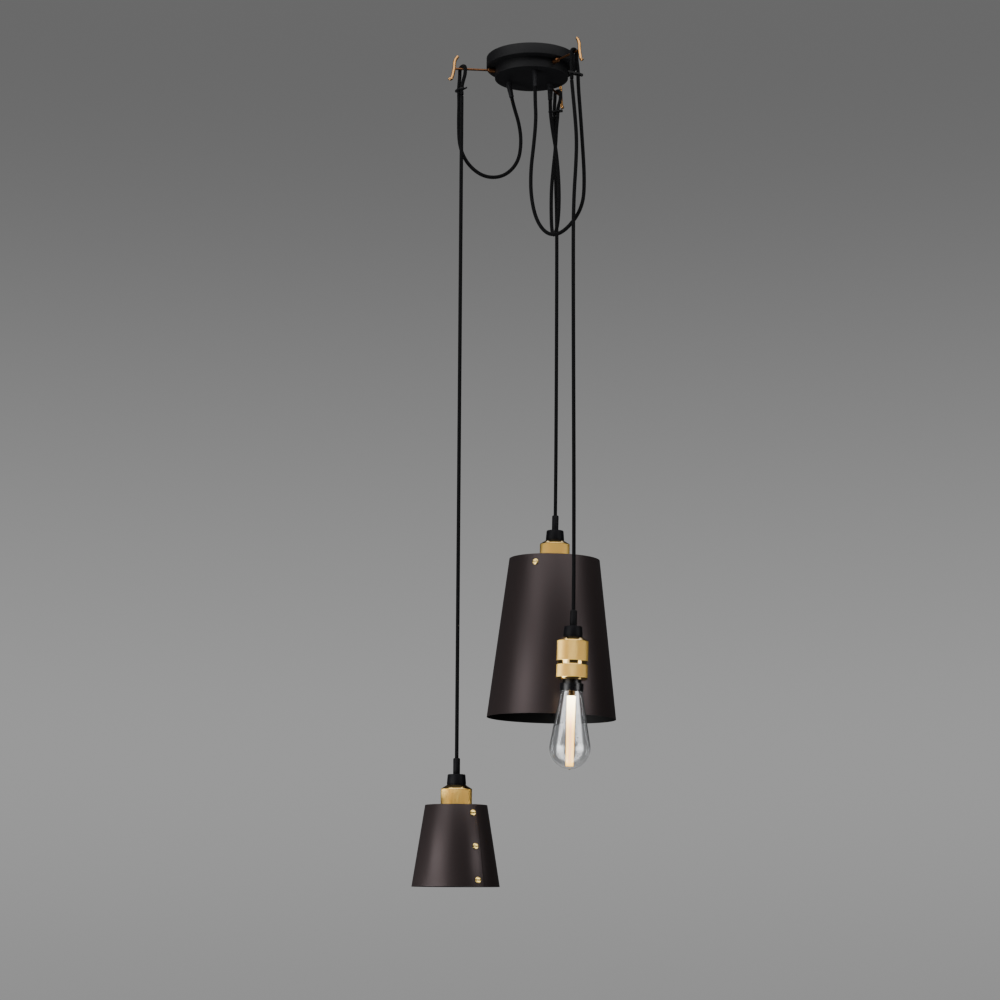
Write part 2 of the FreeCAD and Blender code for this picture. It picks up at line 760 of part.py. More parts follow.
def holder_barrel(side):
    cavity = "(core_radius + core_gap)"
    piece = turned("holder_barrel", [
        ("nipple_radius + bore_gap", "-" + GRIP_END), ("barrel_shoulder_radius", "-" + GRIP_END),
        ("barrel_edge_radius", "-" + SHOULDER_END), ("barrel_radius", "-" + SHOULDER_END),
        ("barrel_radius", "-" + BARREL_END), ("neck_radius", "-" + BARREL_END),
        ("neck_radius", "-" + NECK_END), (cavity, "-" + NECK_END), (cavity, "-" + CORE_TOP),
        ("nipple_radius + bore_gap", "-" + CORE_TOP)])
    node(hang(piece, side), "holder_barrel_" + side)


def holder_core(side):
    """The insulating core: a socket for the nipple above, the contact's bore and the shell's cavity."""
    nipple_end = "(%s + nipple_length + nipple_end_gap)" % GRIP_END
    piece = turned("holder_core", [
        ("nipple_radius + bore_gap", "-" + CORE_TOP), ("core_radius", "-" + CORE_TOP),
        ("core_radius", "-" + NECK_END), (CORE_CAVITY, "-" + NECK_END),
        (CORE_CAVITY, "-" + CAVITY_FLOOR), ("contact_radius + bore_gap", "-" + CAVITY_FLOOR),
        ("contact_radius + bore_gap", "-" + nipple_end), ("nipple_radius + bore_gap", "-" + nipple_end)])
    node(hang(piece, side), "holder_core_" + side)


def screw_shell(side):
    piece = turned("screw_shell", [
        ("shell_radius - shell_wall", "-" + CAVITY_FLOOR), ("shell_radius", "-" + CAVITY_FLOOR),
        ("shell_radius", "-" + NECK_END), ("shell_radius - shell_wall", "-" + NECK_END)])
    node(hang(piece, side), "screw_shell_" + side)


def centre_contact(side):
    piece = turned("centre_contact", [
        ("0", "-" + CONTACT_TOP), ("contact_radius", "-" + CONTACT_TOP),
        ("contact_radius", "-" + CONTACT_HEAD_TOP), ("contact_head_radius", "-" + CONTACT_HEAD_TOP),
        ("contact_head_radius", "-" + CAP_TOP), ("0", "-" + CAP_TOP)])
    node(hang(piece, side), "centre_contact_" + side)


def shade_ring(side):
    top = ring_top(side)
    lip = "(%s + ring_height)" % top
    end = "(%s + ring_lip)" % lip
    piece = turned("shade_ring", [
        ("neck_radius + ring_gap", "-" + top), ("barrel_radius", "-" + top), ("barrel_radius", "-" + lip),
        ("barrel_radius - ring_lip", "-" + end), ("ring_hole_radius", "-" + end),
        ("ring_hole_radius", "-" + lip), ("neck_radius + ring_gap", "-" + lip)])
    node(hang(piece, side), "shade_ring_" + side)


# Bulb


def bulb_cap(side):
    crown_end = "(%s + cap_crown)" % CAP_TOP
    piece = turned("bulb_cap", [
        ("0", "-" + CAP_TOP), ("button_radius", "-" + CAP_TOP),
        ("cap_radius - cap_crown / 3", "-%s - cap_crown / 2" % CAP_TOP), ("cap_radius", "-" + crown_end),
        ("cap_radius", "-" + CAP_END), ("cap_radius - cap_wall", "-" + CAP_END),
        ("cap_radius - cap_wall", "-%s - cap_wall" % crown_end), ("0", "-%s - cap_wall" % crown_end)])
    node(hang(piece, side), "bulb_cap_" + side)


def bulb_collar(side):
    spigot = "(cap_radius - cap_wall - bore_gap)"
    recess = "(glass_neck_radius + bore_gap)"
    piece = turned("bulb_collar", [
        ("0", "collar_spigot - " + CAP_END), (spigot, "collar_spigot - " + CAP_END), (spigot, "-" + CAP_END),
        ("skirt_radius", "-" + CAP_END), ("skirt_radius", "-" + SKIRT_END), ("flange_radius", "-" + SKIRT_END),
        ("flange_radius", "-" + FLANGE_END), (recess, "-" + FLANGE_END), (recess, "-" + RECESS_FLOOR),
        ("0", "-" + RECESS_FLOOR)])
    node(hang(piece, side), "bulb_collar_" + side)


def bulb_glass(side):
    """A neck, a cone and a ball that it runs into smoothly, all of one wall."""
    body = doc.addObject("PartDesign::Body", "bulb_glass")
    sketch = body.newObject("Sketcher::SketchObject", "outline")
    sketch.AttachmentSupport = (origin_plane(body, "XZ_Plane"), [""])
    sketch.MapMode = "FlatFace"
    centre = Vector(0, -value("%s + %s_ball_drop" % (FLANGE_END, side)), 0)
    walls = ("0", "glass_wall")
    skins = []
    for inset in walls:
        neck = value("glass_neck_radius - " + inset)
        ball = value("%s_ball_radius - %s" % (side, inset))
        away = Vector(neck, -value(FLANGE_END), 0) - centre
        angle = math.atan2(away.y, away.x) - math.acos(ball / away.Length)
        touch = centre + Vector(math.cos(angle), math.sin(angle), 0) * ball
        rim = Vector(neck, -value(RECESS_FLOOR), 0)
        bend = Vector(neck, -value(FLANGE_END), 0)
        straight = sketch.addGeometry(Part.LineSegment(rim, bend), False)
        slope = sketch.addGeometry(Part.LineSegment(bend, touch), False)
        circle = Part.Circle(centre, Vector(0, 0, 1), ball)
        curve = sketch.addGeometry(Part.ArcOfCircle(circle, -math.pi / 2, angle), False)
        skins.append((straight, slope, curve))
    for (straight, slope, curve), inset in zip(skins, walls):
        pin_corner(sketch, straight, ("glass_neck_radius - " + inset, "-" + RECESS_FLOOR))
        pin_corner(sketch, slope, ("glass_neck_radius - " + inset, "-" + FLANGE_END))
        sketch.addConstraint(Sketcher.Constraint("Coincident", straight, 2, slope, 1))
        sketch.addConstraint(Sketcher.Constraint("Tangent", slope, 2, curve, 2))
        sketch.addConstraint(Sketcher.Constraint("PointOnObject", curve, 3, -2))
        sketch.addConstraint(Sketcher.Constraint("PointOnObject", curve, 1, -2))
        drop = "-%s - %s_ball_drop" % (FLANGE_END, side)
        number = sketch.addConstraint(Sketcher.Constraint("DistanceY", -1, 1, curve, 3, value(drop)))
        sketch.setExpression("Constraints[%d]" % number, formula(drop))
        ball = "%s_ball_radius - %s" % (side, inset)
        number = sketch.addConstraint(Sketcher.Constraint("Radius", curve, value(ball)))
        sketch.setExpression("Constraints[%d]" % number, formula(ball))
    (outer_straight, _, outer_curve), (inner_straight, _, inner_curve) = skins
    for outside, inside in ((outer_curve, inner_curve), (outer_straight, inner_straight)):
        first = sketch.getPoint(outside, 1)
        second = sketch.getPoint(inside, 1)
        closing = sketch.addGeometry(Part.LineSegment(first, second), False)
        sketch.addConstraint(Sketcher.Constraint("Coincident", closing, 1, outside, 1))
        sketch.addConstraint(Sketcher.Constraint("Coincident", closing, 2, inside, 1))
    revolve(body, sketch)
    node(hang(body, side), "bulb_glass_" + side)


def bulb_light(side):
    """The light pipe on its base. Inside a shade the two are one turned piece."""
    base_end = "(%s + light_base_drop)" % FLANGE_END
    pipe_end = "(%s + %s_ball_drop + %s_ball_radius - light_pipe_gap)" % (FLANGE_END, side, side)
    pipe = [("light_pipe_end_radius", "-" + pipe_end), ("0", "-" + pipe_end)]
    if side in SHADED:
        corners = [("0", "-" + RECESS_FLOOR), ("light_base_radius", "-" + RECESS_FLOOR),
                   ("light_base_radius", "-" + base_end), ("light_pipe_radius", "-" + base_end)] + pipe
        node(hang(turned("light_pipe", corners), side), "bulb_light_pipe_" + side)
        return
    base = turned("light_base", [
        ("0", "-" + RECESS_FLOOR), ("light_base_radius", "-" + RECESS_FLOOR),
        ("light_base_radius", "-" + base_end), ("0", "-" + base_end)])
    node(hang(base, side), "bulb_light_base_" + side)
    corners = [("0", "-" + base_end), ("light_pipe_radius", "-" + base_end)] + pipe
    node(hang(turned("light_pipe", corners), side), "bulb_light_pipe_" + side)


# Shades


def shade_slope(side):
    return "((%s_shade_bottom_radius - %s_shade_top_radius) / %s_shade_height)" % (side, side, side)


def shade_radius(side, below_rim):
    """The shade's outer radius at a height below its top rim."""
    return "(%s_shade_top_radius + %s * (%s))" % (side, shade_slope(side), below_rim)


def rim_depth(side):
    return "(%s - %s_rim_rise)" % (BARREL_END, side)


def lap_screw_drops(side):
    """Heights of the three lap screws below the top rim: near the top, in the middle, near the bottom."""
    top = "%s_top_screw_drop" % side
    bottom = "(%s_shade_height - %s_bottom_screw_rise)" % (side, side)
    return [top, "(%s + %s) / 2" % (top, bottom), bottom]


def screw_places(side):
    """Each shade screw's azimuth, its height below the rim and how many layers it goes through."""
    lap = "%s_lap_azimuth" % side
    places = []
    for count, drop in enumerate(lap_screw_drops(side)):
        plate = "plate_gap + plate_thickness" if count == 0 else "0"
        places.append((lap, drop, "shade_wall", plate))
    for azimuth in PLATE_SCREW_AZIMUTHS[side]:
        places.append((str(azimuth), "%s_top_screw_drop" % side, "0", "plate_gap + plate_thickness"))
    if side == "back":
        places[0] = (lap, "back_first_lap_screw_drop", "shade_wall", "0")
    return places


def on_shade(piece, side, azimuth, drop, lap):
    """Stands a piece square on the shade's outer face, its own +Z outwards."""
    lean = "90 deg - atan(%s)" % shade_slope(side)
    turn(piece, lean, Vector(0, 1, 0))
    outside = "(%s + %s)" % (shade_radius(side, drop), lap)
    move(piece, (outside, "0", "-%s - %s" % (rim_depth(side), drop)))
    return turn(group("on_shade", [piece]), azimuth)


def screw_hole():
    """The clearance hole of a shade screw, from outside the sheet to well inside it."""
    return group("screw_hole", [round_bar("screw_shank_radius + screw_gap", "screw_hole_depth + screw_hole_rise",
                                          ("0", "0", "-screw_hole_depth"))])


def shade(side):
    """A cone of sheet with an outer lap along one side and a hole for every screw."""
    rim = rim_depth(side)
    foot = "(%s + %s_shade_height)" % (rim, side)
    top = "%s_shade_top_radius" % side
    bottom = "%s_shade_bottom_radius" % side
    cone = turned("shade_cone", [
        (top + " - shade_wall", "-" + rim), (top, "-" + rim), (bottom, "-" + foot),
        (bottom + " - shade_wall", "-" + foot)])
    lap = turned("shade_lap", [
        (top + " - shade_wall / 2", "-" + rim), (top + " + shade_wall", "-" + rim),
        (bottom + " + shade_wall", "-" + foot), (bottom + " - shade_wall / 2", "-" + foot)],
        "%s_lap_angle" % side)
    turn(lap, "%s_lap_azimuth" % side)
    holes = []
    for azimuth, drop, lap_layer, _ in screw_places(side):
        holes.append(on_shade(screw_hole(), side, azimuth, drop, lap_layer))
    label = SHADE_NAMES[side]
    node(hang(cut(label, fused("shade_blank", [cone, lap]), holes), side), label)


def shade_plate(side):
    """The dished plate that the ring clamps: a seat round the neck, a rise to the edge and a flange."""
    under = "(%s + plate_thickness)" % BARREL_END
    edge_top = "(%s + plate_edge_drop)" % rim_depth(side)
    end = "(%s + plate_flange)" % edge_top
    inset = "(shade_wall + plate_gap)"
    edge = "(%s - %s)" % (shade_radius(side, "plate_edge_drop"), inset)
    edge_end = "(%s - %s)" % (shade_radius(side, "plate_edge_drop + plate_flange"), inset)
    bore = "neck_radius + plate_bore_gap"
    dish = turned("shade_dish", [
        (bore, "-" + BARREL_END), ("plate_seat_radius", "-" + BARREL_END), (edge, "-" + edge_top),
        (edge_end, "-" + end), (edge_end + " - plate_thickness", "-" + end),
        ("%s - plate_thickness * (1 - %s)" % (edge, shade_slope(side)), "-%s - plate_thickness" % edge_top),
        ("plate_seat_radius", "-" + under), (bore, "-" + under)])
    holes = []
    for azimuth, drop, lap_layer, plate_layer in screw_places(side):
        if plate_layer != "0":
            holes.append(on_shade(screw_hole(), side, azimuth, drop, lap_layer))
    label = SHADE_NAMES[side] + "_plate"
    node(hang(cut(label, dish, holes), side), label)


def shade_screws(side):
    """Slotted brass screws, each with its shank and the foot that closes it inside."""
    screws = []
    for azimuth, drop, lap_layer, plate_layer in screw_places(side):
        grip = "(shade_wall + %s + %s + screw_foot_gap)" % (lap_layer, plate_layer)
        body = turned("screw_blank", [
            ("0", "screw_head_height"), ("screw_head_flat", "screw_head_height"),
            ("screw_head_radius", "screw_head_edge"), ("screw_head_radius", "plate_gap"),
            ("screw_shank_radius", "plate_gap"), ("screw_shank_radius", "-" + grip),
            ("screw_foot_radius", "-" + grip), ("screw_foot_radius", "-%s - screw_foot_height" % grip),
            ("0", "-%s - screw_foot_height" % grip)])
        slot = block("screw_slot_width", "3 * screw_head_radius", "2 * screw_slot_depth",
                     ("-screw_slot_width / 2", "-1.5 * screw_head_radius", "screw_head_height - screw_slot_depth"))
        screws.append(on_shade(cut("shade_screw", body, [slot]), side, azimuth, drop, lap_layer))
    label = SHADE_NAMES[side] + "_screws"
    node(hang(group(label, screws), side), label)


ceiling_bracket()
rose_upper_disc()
rose_lower_disc()
terminal_block()
rose_screws()
cord_glands()
hook_fixings()
cable_ties()
for pendant in PENDANTS:
    hook(pendant)
    cord_swag(pendant)
    cord_neck(pendant)
    cord_drop(pendant)
    cord_sleeve(pendant)
    cord_grip(pendant)
    holder_barrel(pendant)
    holder_core(pendant)
    screw_shell(pendant)
    centre_contact(pendant)
    shade_ring(pendant)
    bulb_cap(pendant)
    bulb_collar(pendant)
    bulb_glass(pendant)
    bulb_light(pendant)
for pendant in SHADED:
    shade(pendant)
    shade_plate(pendant)
    shade_screws(pendant)

doc.recompute()
faults = [thing.Label for thing in doc.Objects if "Invalid" in thing.State or "Error" in thing.State]
if faults:
    raise RuntimeError("objects that failed: " + ", ".join(faults))
for piece in nodes:
    if piece.Shape.isNull() or not piece.Shape.isValid() or not piece.Shape.Solids:
        raise RuntimeError("not a valid solid: " + piece.Label)
os.makedirs("parts", exist_ok=True)
for piece in nodes:
    piece.Shape.exportStep("parts/%s.step" % piece.Label)
print("%d nodes, %d solids" % (len(nodes), sum(len(piece.Shape.Solids) for piece in nodes)))
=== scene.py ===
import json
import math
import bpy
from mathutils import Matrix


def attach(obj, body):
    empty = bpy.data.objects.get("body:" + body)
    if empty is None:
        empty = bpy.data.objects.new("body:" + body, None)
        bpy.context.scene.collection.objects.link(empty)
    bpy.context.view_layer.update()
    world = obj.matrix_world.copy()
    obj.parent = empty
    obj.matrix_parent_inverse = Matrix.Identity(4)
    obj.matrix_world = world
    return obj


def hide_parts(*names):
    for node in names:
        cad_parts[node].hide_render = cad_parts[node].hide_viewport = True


bl_info = {
    "name": "Three-drop pendant light",
    "version": (1, 0, 0),
    "blender": (4, 5, 0),
    "location": "3D View > Sidebar > Pendant",
    "description": "Models the rose, hooks, cords, lampholders, bulbs and shades of a three-drop pendant light",
    "category": "Object",
}

import bmesh
import bpy
from bpy.props import FloatProperty, FloatVectorProperty, PointerProperty
from mathutils import Matrix, Vector

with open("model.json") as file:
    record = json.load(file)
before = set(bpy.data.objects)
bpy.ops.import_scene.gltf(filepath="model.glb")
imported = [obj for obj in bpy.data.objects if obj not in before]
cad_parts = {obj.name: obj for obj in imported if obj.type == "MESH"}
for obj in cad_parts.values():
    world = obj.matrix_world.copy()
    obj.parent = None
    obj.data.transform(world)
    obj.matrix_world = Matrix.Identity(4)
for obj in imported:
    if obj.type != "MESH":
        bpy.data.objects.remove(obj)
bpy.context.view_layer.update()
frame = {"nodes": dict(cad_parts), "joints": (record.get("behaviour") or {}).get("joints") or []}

MM = 0.001
# A radius that stands for a point on the axis, and the distance within which vertices are welded
POLE = 0.00002
WELD = 1.5 * POLE
# Measures that differ by less than this count as equal
NEARLY = 0.01 * MM
SIDES = ("left", "right", "back")
# The pendants that carry a shade
SHADED = ("left", "back")
# The camera's frame in millimetres
SENSOR_WIDTH = 36
JOINTS = {joint["name"]: joint for joint in frame["joints"]}


# Settings


def size(name, millimetres, description):
    return FloatProperty(name=name, description=description, default=millimetres * MM, unit="LENGTH", precision=5)


def linear(code):
    """An sRGB hex value as linear red, green and blue."""
    parts = [int(code[place:place + 2], 16) / 255 for place in (1, 3, 5)]
    return tuple(part / 12.92 if part <= 0.04045 else ((part + 0.055) / 1.055) ** 2.4 for part in parts)


def colour(name, code, description):
    return FloatVectorProperty(name=name, description=description, default=linear(code), subtype="COLOR",
                               size=3, min=0, max=1)


class StudioSettings(bpy.types.PropertyGroup):
    eye_x: size("Eye X", -49.8, "Camera place, to the right of the rose")
    eye_y: size("Eye Y", -3810, "Camera place, behind the front of the light")
    eye_z: size("Eye Z", -1424.1, "Camera place, below the ceiling")
    lens: FloatProperty(name="Lens", description="Focal length in millimetres on a 36 mm frame", default=85)
    tilt: FloatProperty(name="Tilt", description="How far the camera looks up", default=math.radians(9.9),
                        subtype="ANGLE")
    roll: FloatProperty(name="Roll", description="Camera roll", default=math.radians(0.27), subtype="ANGLE")
    floor_drop: size("Floor drop", 2300, "Floor below the ceiling")
    floor_width: size("Floor width", 9000, "Side of the square floor")
    floor_colour: colour("Floor", "#d9d9d6", "Pale painted floor")
    foot_air: colour("Foot of the surround", "#959595", "Plain grey below the shades")
    low_air: colour("Low surround", "#a7a7a7", "Plain grey behind the shades")
    high_air: colour("High surround", "#6a6a6a", "The same grey, deeper towards the ceiling")
    dim_air: colour("Dim surround", "#383838", "What the pieces mirror where no softbox stands")


class CordSettings(bpy.types.PropertyGroup):
    radius: size("Cord radius", 3, "Half the cord's diameter")
    swing_drop: size("Swing drop", 66, "Depth of the upper swing axis below the ceiling")
    neck_length: size("Neck length", 8.3, "Cord between the two swing axes")
    gap: size("Gap", 0.3, "Room between the cord's lengths at a swing axis")
    dome_foot: size("Dome foot", 0.5, "Straight part under a hanging cord's rounded top")
    lead: size("Lead", 36, "Straight cord above a sleeve")
    stop_depth: size("Cord stop", 41, "Depth of the cord's end below the sleeve's top")
    carrier_width: size("Strand width", 0.8,
                        "Width of one strand of the woven cover, coarser than the real one so that it shows")
    tie_thickness: size("Tie thickness", 1.1, "Thickness of a cable tie's strap")
    tie_height: size("Tie height", 2.8, "Width of a cable tie's strap")
    tie_gap: size("Tie clearance", 0.25, "Room between a tie and the cords that it holds")
    tie_head: size("Tie head", 5, "Length of a tie's head")
    tie_head_width: size("Tie head width", 4.5, "Width of a tie's head")
    tie_head_height: size("Tie head height", 4.4, "Height of a tie's head")
    tie_head_edge: size("Tie head edge", 0.8, "Rounding of a tie's head")
    tie_edge: size("Tie edge", 0.25, "Rounding of a tie's clipped tail")
    weave_colour: colour("Weave", "#060607", "Black polyester yarn")
    weave_light: colour("Weave light", "#161617", "Lit side of the yarn")


class HolderSettings(bpy.types.PropertyGroup):
    sleeve_length: size("Sleeve length", 26, "Black cord sleeve")
    sleeve_radius: size("Sleeve radius", 5.5, "Outside of the cord sleeve")
    sleeve_edge: size("Sleeve edge", 0.3, "Rounding of the cord sleeve")
    grip_height: size("Grip height", 17.5, "Black cup under the sleeve")
    grip_top_radius: size("Grip top radius", 14.25, "Top of the cup")
    grip_bottom_radius: size("Grip bottom radius", 15.5, "Bottom of the cup")
    grip_chamfer: size("Grip chamfer", 1, "Chamfer round the cup's top")
    grip_groove: size("Grip groove", 2.2, "Groove above the cup's bottom")
    grip_edge: size("Grip edge", 0.25, "Rounding of the cup")
    nipple_radius: size("Nipple radius", 5, "Nipple that screws the cup into the barrel")
    nipple_length: size("Nipple length", 9.5, "Nipple that screws the cup into the barrel")
    cord_floor: size("Cord floor", 2.5, "End of the cord's bore above the cup's bottom")
    shoulder_radius: size("Shoulder radius", 16, "Inner edge of the polished shoulder")
    shoulder_height: size("Shoulder height", 5.5, "Height of the polished shoulder")
    edge_radius: size("Polished edge radius", 24.5, "Outer edge of the polished shoulder")
    barrel_radius: size("Barrel radius", 25, "Over the knurling")
    barrel_height: size("Barrel height", 32.8, "Knurled length of the barrel")
    barrel_wall: size("Barrel top wall", 3, "Thickness of the barrel's top")
    core_radius: size("Cavity radius", 21, "Inside of the barrel")
    neck_radius: size("Neck radius", 23, "Polished neck below the barrel")
    neck_height: size("Neck height", 21, "Length of the neck")
    ring_height: size("Ring height", 21.6, "Knurled length of the ring")
    ring_lip: size("Ring lip", 2.7, "Polished chamfer under the ring")
    ring_hole_radius: size("Ring hole radius", 15.8, "Hole that the bulb's collar passes")
    ring_drop: size("Ring drop", 4.8, "Neck that shows above the bare lamp's ring")
    ring_gap: size("Ring clearance", 0.05, "Room between the ring and the neck")
    cord_bore: size("Cord bore", 3.05, "Bore that takes the cord")
    knurl_pitch: size("Knurl pitch", 0.8, "Half the width of one diamond, coarser than the real one so that it shows")
    knurl_depth: size("Knurl depth", 0.4, "Height of each diamond")
    knurl_margin: size("Knurl margin", 0.6, "Plain edge above and below the knurling")
    knurl_chamfer: size("Knurl chamfer", 0.4, "How far the plain edge falls back")
    brass: colour("Satin brass", "#e5be68", "Satin knurled brass")
    polished: colour("Polished brass", "#ecc97e", "Polished turned brass")


class BulbSettings(bpy.types.PropertyGroup):
    cap_entry: size("Cap entry", 0.5, "Top of the cap below the barrel's end")
    cap_length: size("Cap length", 27, "Screw cap")
    skirt_radius: size("Skirt radius", 15.25, "Upper part of the collar")
    skirt_height: size("Skirt height", 7.5, "Length of the skirt")
    flange_radius: size("Flange radius", 18.75, "Lower part of the collar")
    flange_height: size("Flange height", 12, "Length of the flange")
    collar_edge: size("Collar edge", 0.7, "Rounding of the collar")
    recess_depth: size("Recess depth", 8.5, "Depth of the glass in the collar")
    glass_gap: size("Glass clearance", 0.05, "Room between the glass and the collar")
    spigot_radius: size("Spigot radius", 12.25, "Collar inside the cap")
    spigot_height: size("Spigot height", 6, "Collar inside the cap")
    glass_radius: size("Glass neck radius", 17.2, "Neck of the glass")
    glass_wall: size("Glass wall", 1, "Thickness of the glass")
    base_radius: size("Light base radius", 7.2, "Dark brass base of the light pipe")
    base_drop: size("Light base drop", 7.4, "Base below the collar")
    base_edge: size("Light base edge", 0.12, "Rounding of the base and its grooves")
    groove_start: size("Groove start", 1.4, "First groove of the base below the collar")
    groove_pitch: size("Groove pitch", 1.9, "From one groove of the base to the next")
    pipe_radius: size("Light pipe radius", 7.9, "Top of the light pipe")
    pipe_end_radius: size("Light pipe end radius", 7.1, "Bottom of the light pipe")
    pipe_gap: size("Light pipe gap", 4.1, "Room between the pipe and the glass's bottom")
    pipe_edge: size("Light pipe edge", 0.4, "Rounding of the light pipe")
    core_gap: size("Core gap", 0.3, "Clear acrylic above the glowing core")
    core_end_gap: size("Core end gap", 1, "Clear acrylic below the glowing core")
    core_share: FloatProperty(name="Core share", description="Glowing core's radius as a share of the pipe's",
                              default=0.58, min=0.1, max=0.9, subtype="FACTOR")
    glow_top: colour("Glow at the top", "#fff0c0", "White-hot light beside its source")
    glow_middle: colour("Glow in the middle", "#ffcf70", "Creamy light down the pipe")
    glow_streak: colour("Glow streak", "#ffb898", "Pinkish streaks down the pipe")
    glow_end: colour("Glow at the end", "#ffc850", "Yellow light at the pipe's end")


class ShadeSettings(bpy.types.PropertyGroup):
    wall: size("Sheet", 1, "Thickness of the shade's sheet")
    sheet_edge: size("Sheet edge", 0.2, "Rounding of the sheet's rims")
    plate_thickness: size("Plate thickness", 1.2, "Dished top plate")
    plate_gap: size("Plate clearance", 0.05, "Room between the plate and the sheet")
    head_radius: size("Screw head radius", 5, "Brass screw head")
    head_flat: size("Screw head flat", 3.9, "Flat middle of the head")
    head_height: size("Screw head height", 1.8, "Head above the sheet")
    head_crown: size("Screw head crown", 0.15, "How far the head falls beside its flat")
    head_edge: size("Screw head edge", 1.1, "Height of the head's edge")
    slot_width: size("Slot width", 1.5, "Screwdriver slot")
    slot_depth: size("Slot depth", 1.1, "Screwdriver slot")
    shank_radius: size("Shank radius", 1.8, "Screw shank")
    foot_radius: size("Foot radius", 3.5, "Foot that closes the screw inside")
    foot_height: size("Foot height", 1.2, "Foot that closes the screw inside")
    foot_gap: size("Foot clearance", 0.35, "Room between the foot and the sheet")
    screw_edge: size("Screw edge", 0.12, "Rounding of the screw and its slot")
    outer_colour: colour("Shade outside", "#211c1c", "Satin dark brown-black coat")
    inner_colour: colour("Shade inside", "#0b0b0b", "Matt black coat")
    screw_colour: colour("Screw brass", "#edce7c", "Polished yellow brass")


class RoseSettings(bpy.types.PropertyGroup):
    disc_height: size("Disc height", 18, "Height of each disc")
    wall: size("Wall", 1.5, "Sheet of the discs")
    disc_edge: size("Disc edge", 1.1, "Rounding of the discs")
    upper_radius: size("Upper radius", 76, "Disc against the ceiling")
    upper_opening: size("Opening", 46, "Opening between the two discs")
    lower_radius: size("Lower radius", 61.75, "Lower disc")
    arm_height: size("Arm height", 24, "Arms below the ceiling")
    arm_radius: size("Arm radius", 1.85, "Brass arm")
    arm_reach: size("Arm reach", 131, "Crossbar from the rose's centre")
    arm_inside: size("Arm inside", 6, "Arm inside the lower disc")
    arm_gap: size("Arm clearance", 0.05, "Room between an arm and its collar")
    bar_radius: size("Crossbar radius", 2.6, "Brass crossbar")
    bar_edge: size("Crossbar edge", 0.7, "Rounding of the crossbar's ends")
    collar_radius: size("Collar radius", 4.3, "Turned collar of an arm")
    collar_length: size("Collar length", 12.5, "Turned collar of an arm")
    nut_radius: size("Nut radius", 4, "Nut on an arm inside the disc")
    nut_height: size("Nut height", 3, "Nut on an arm inside the disc")
    nut_gap: size("Nut clearance", 0.5, "Room between the nut and the disc's wall")
    coat_colour: colour("Rose coat", "#0a0a0c", "Matt black powder coat")
    # The crossbars take a lighter brass than the arms and collars
    bar_colour: colour("Crossbar brass", "#b98a55", "Satin brass of the crossbars, polished by the cords")
    arm_colour: colour("Arm brass", "#704c32", "Browned brass of the arms and collars")


class GlandSettings(bpy.types.PropertyGroup):
    socket_radius: size("Socket radius", 5, "Gland below the rose's floor")
    socket_height: size("Socket height", 5, "Gland between the rose's floor and its nose")
    socket_edge: size("Socket edge", 0.4, "Rounding of the socket and nut")
    throat_radius: size("Throat radius", 4, "Gland through the rose's floor")
    throat_height: size("Throat height", 1.5, "Gland through the rose's floor")
    nut_radius: size("Gland nut radius", 7, "Nut inside the rose")
    nut_height: size("Gland nut height", 2, "Nut inside the rose")
    tip_radius: size("Tip radius", 3.8, "Thin end of the ribbed nose")
    rib_start: size("Rib start", 4, "First groove between the nose's ribs")
    rib_pitch: size("Rib pitch", 2.8, "From one groove of the nose to the next")
    rib_edge: size("Rib edge", 0.15, "Rounding of the ribs")


class PendantSettings(bpy.types.PropertyGroup):
    studio: PointerProperty(type=StudioSettings)
    cord: PointerProperty(type=CordSettings)
    holder: PointerProperty(type=HolderSettings)
    bulb: PointerProperty(type=BulbSettings)
    shade: PointerProperty(type=ShadeSettings)
    rose: PointerProperty(type=RoseSettings)
    gland: PointerProperty(type=GlandSettings)


# Routes of the cords in millimetres, chosen from the photograph

# Each slack cord, from under its gland to the loop on its hook
SWAG_POINTS = {
    "left": [
        (-20, 14, -112), (-16.5, 12, -146), (-22, 9.5, -181), (-45, 4, -207),
        (-77, -1.5, -211), (-105, -5.5, -192), (-121, -7, -160), (-122.5, -7.5, -115),
        (-121.8, -8.5, -84), (-122.4, -9.8, -68), (-122.4, -9.8, -53), (-121, -7.4, -36),
        (-121, -7.4, -19), (-111.6, -17.8, -19), (-111.6, -17.8, -34), (-114.8, -17.4, -45.5),
        (-117.2, -17, -55.5),
    ],
    "right": [
        (7.3, -44, -122), (3.6, -48.5, -168), (-1.6, -53, -214), (-1.2, -58.5, -261),
        (7.5, -64, -303), (24.5, -71.5, -329), (45.5, -80, -332), (68, -85.5, -312),
        (84, -88, -282), (86.3, -88, -240), (83, -88.5, -180), (79.3, -89.5, -124),
        (77, -90.3, -94), (75.8, -91.1, -72), (75.8, -91.3, -54), (73.4, -91.3, -36),
        (73.4, -91.3, -19), (64.8, -97.5, -19), (64.8, -97.5, -34), (65, -97.9, -49),
    ],
    "back": [
        (36, 25.8, -116), (42.3, 27.5, -152), (46.3, 29.2, -193), (47.8, 31, -234),
        (46.6, 32.8, -268), (44.2, 43.8, -285), (40.7, 62, -291), (37.9, 80.2, -285),
        (36.2, 91.2, -268), (35.5, 92.4, -236), (36, 92, -198), (39.5, 94, -160), (43.2, 97.5, -124),
        (44.5, 100.5, -92), (47, 105.3, -66), (47.2, 105.7, -50), (52.1, 104.9, -35),
        (52.1, 104.9, -19), (42.4, 109.2, -19), (42.4, 109.2, -33), (41.2, 108.5, -48),
    ],
}
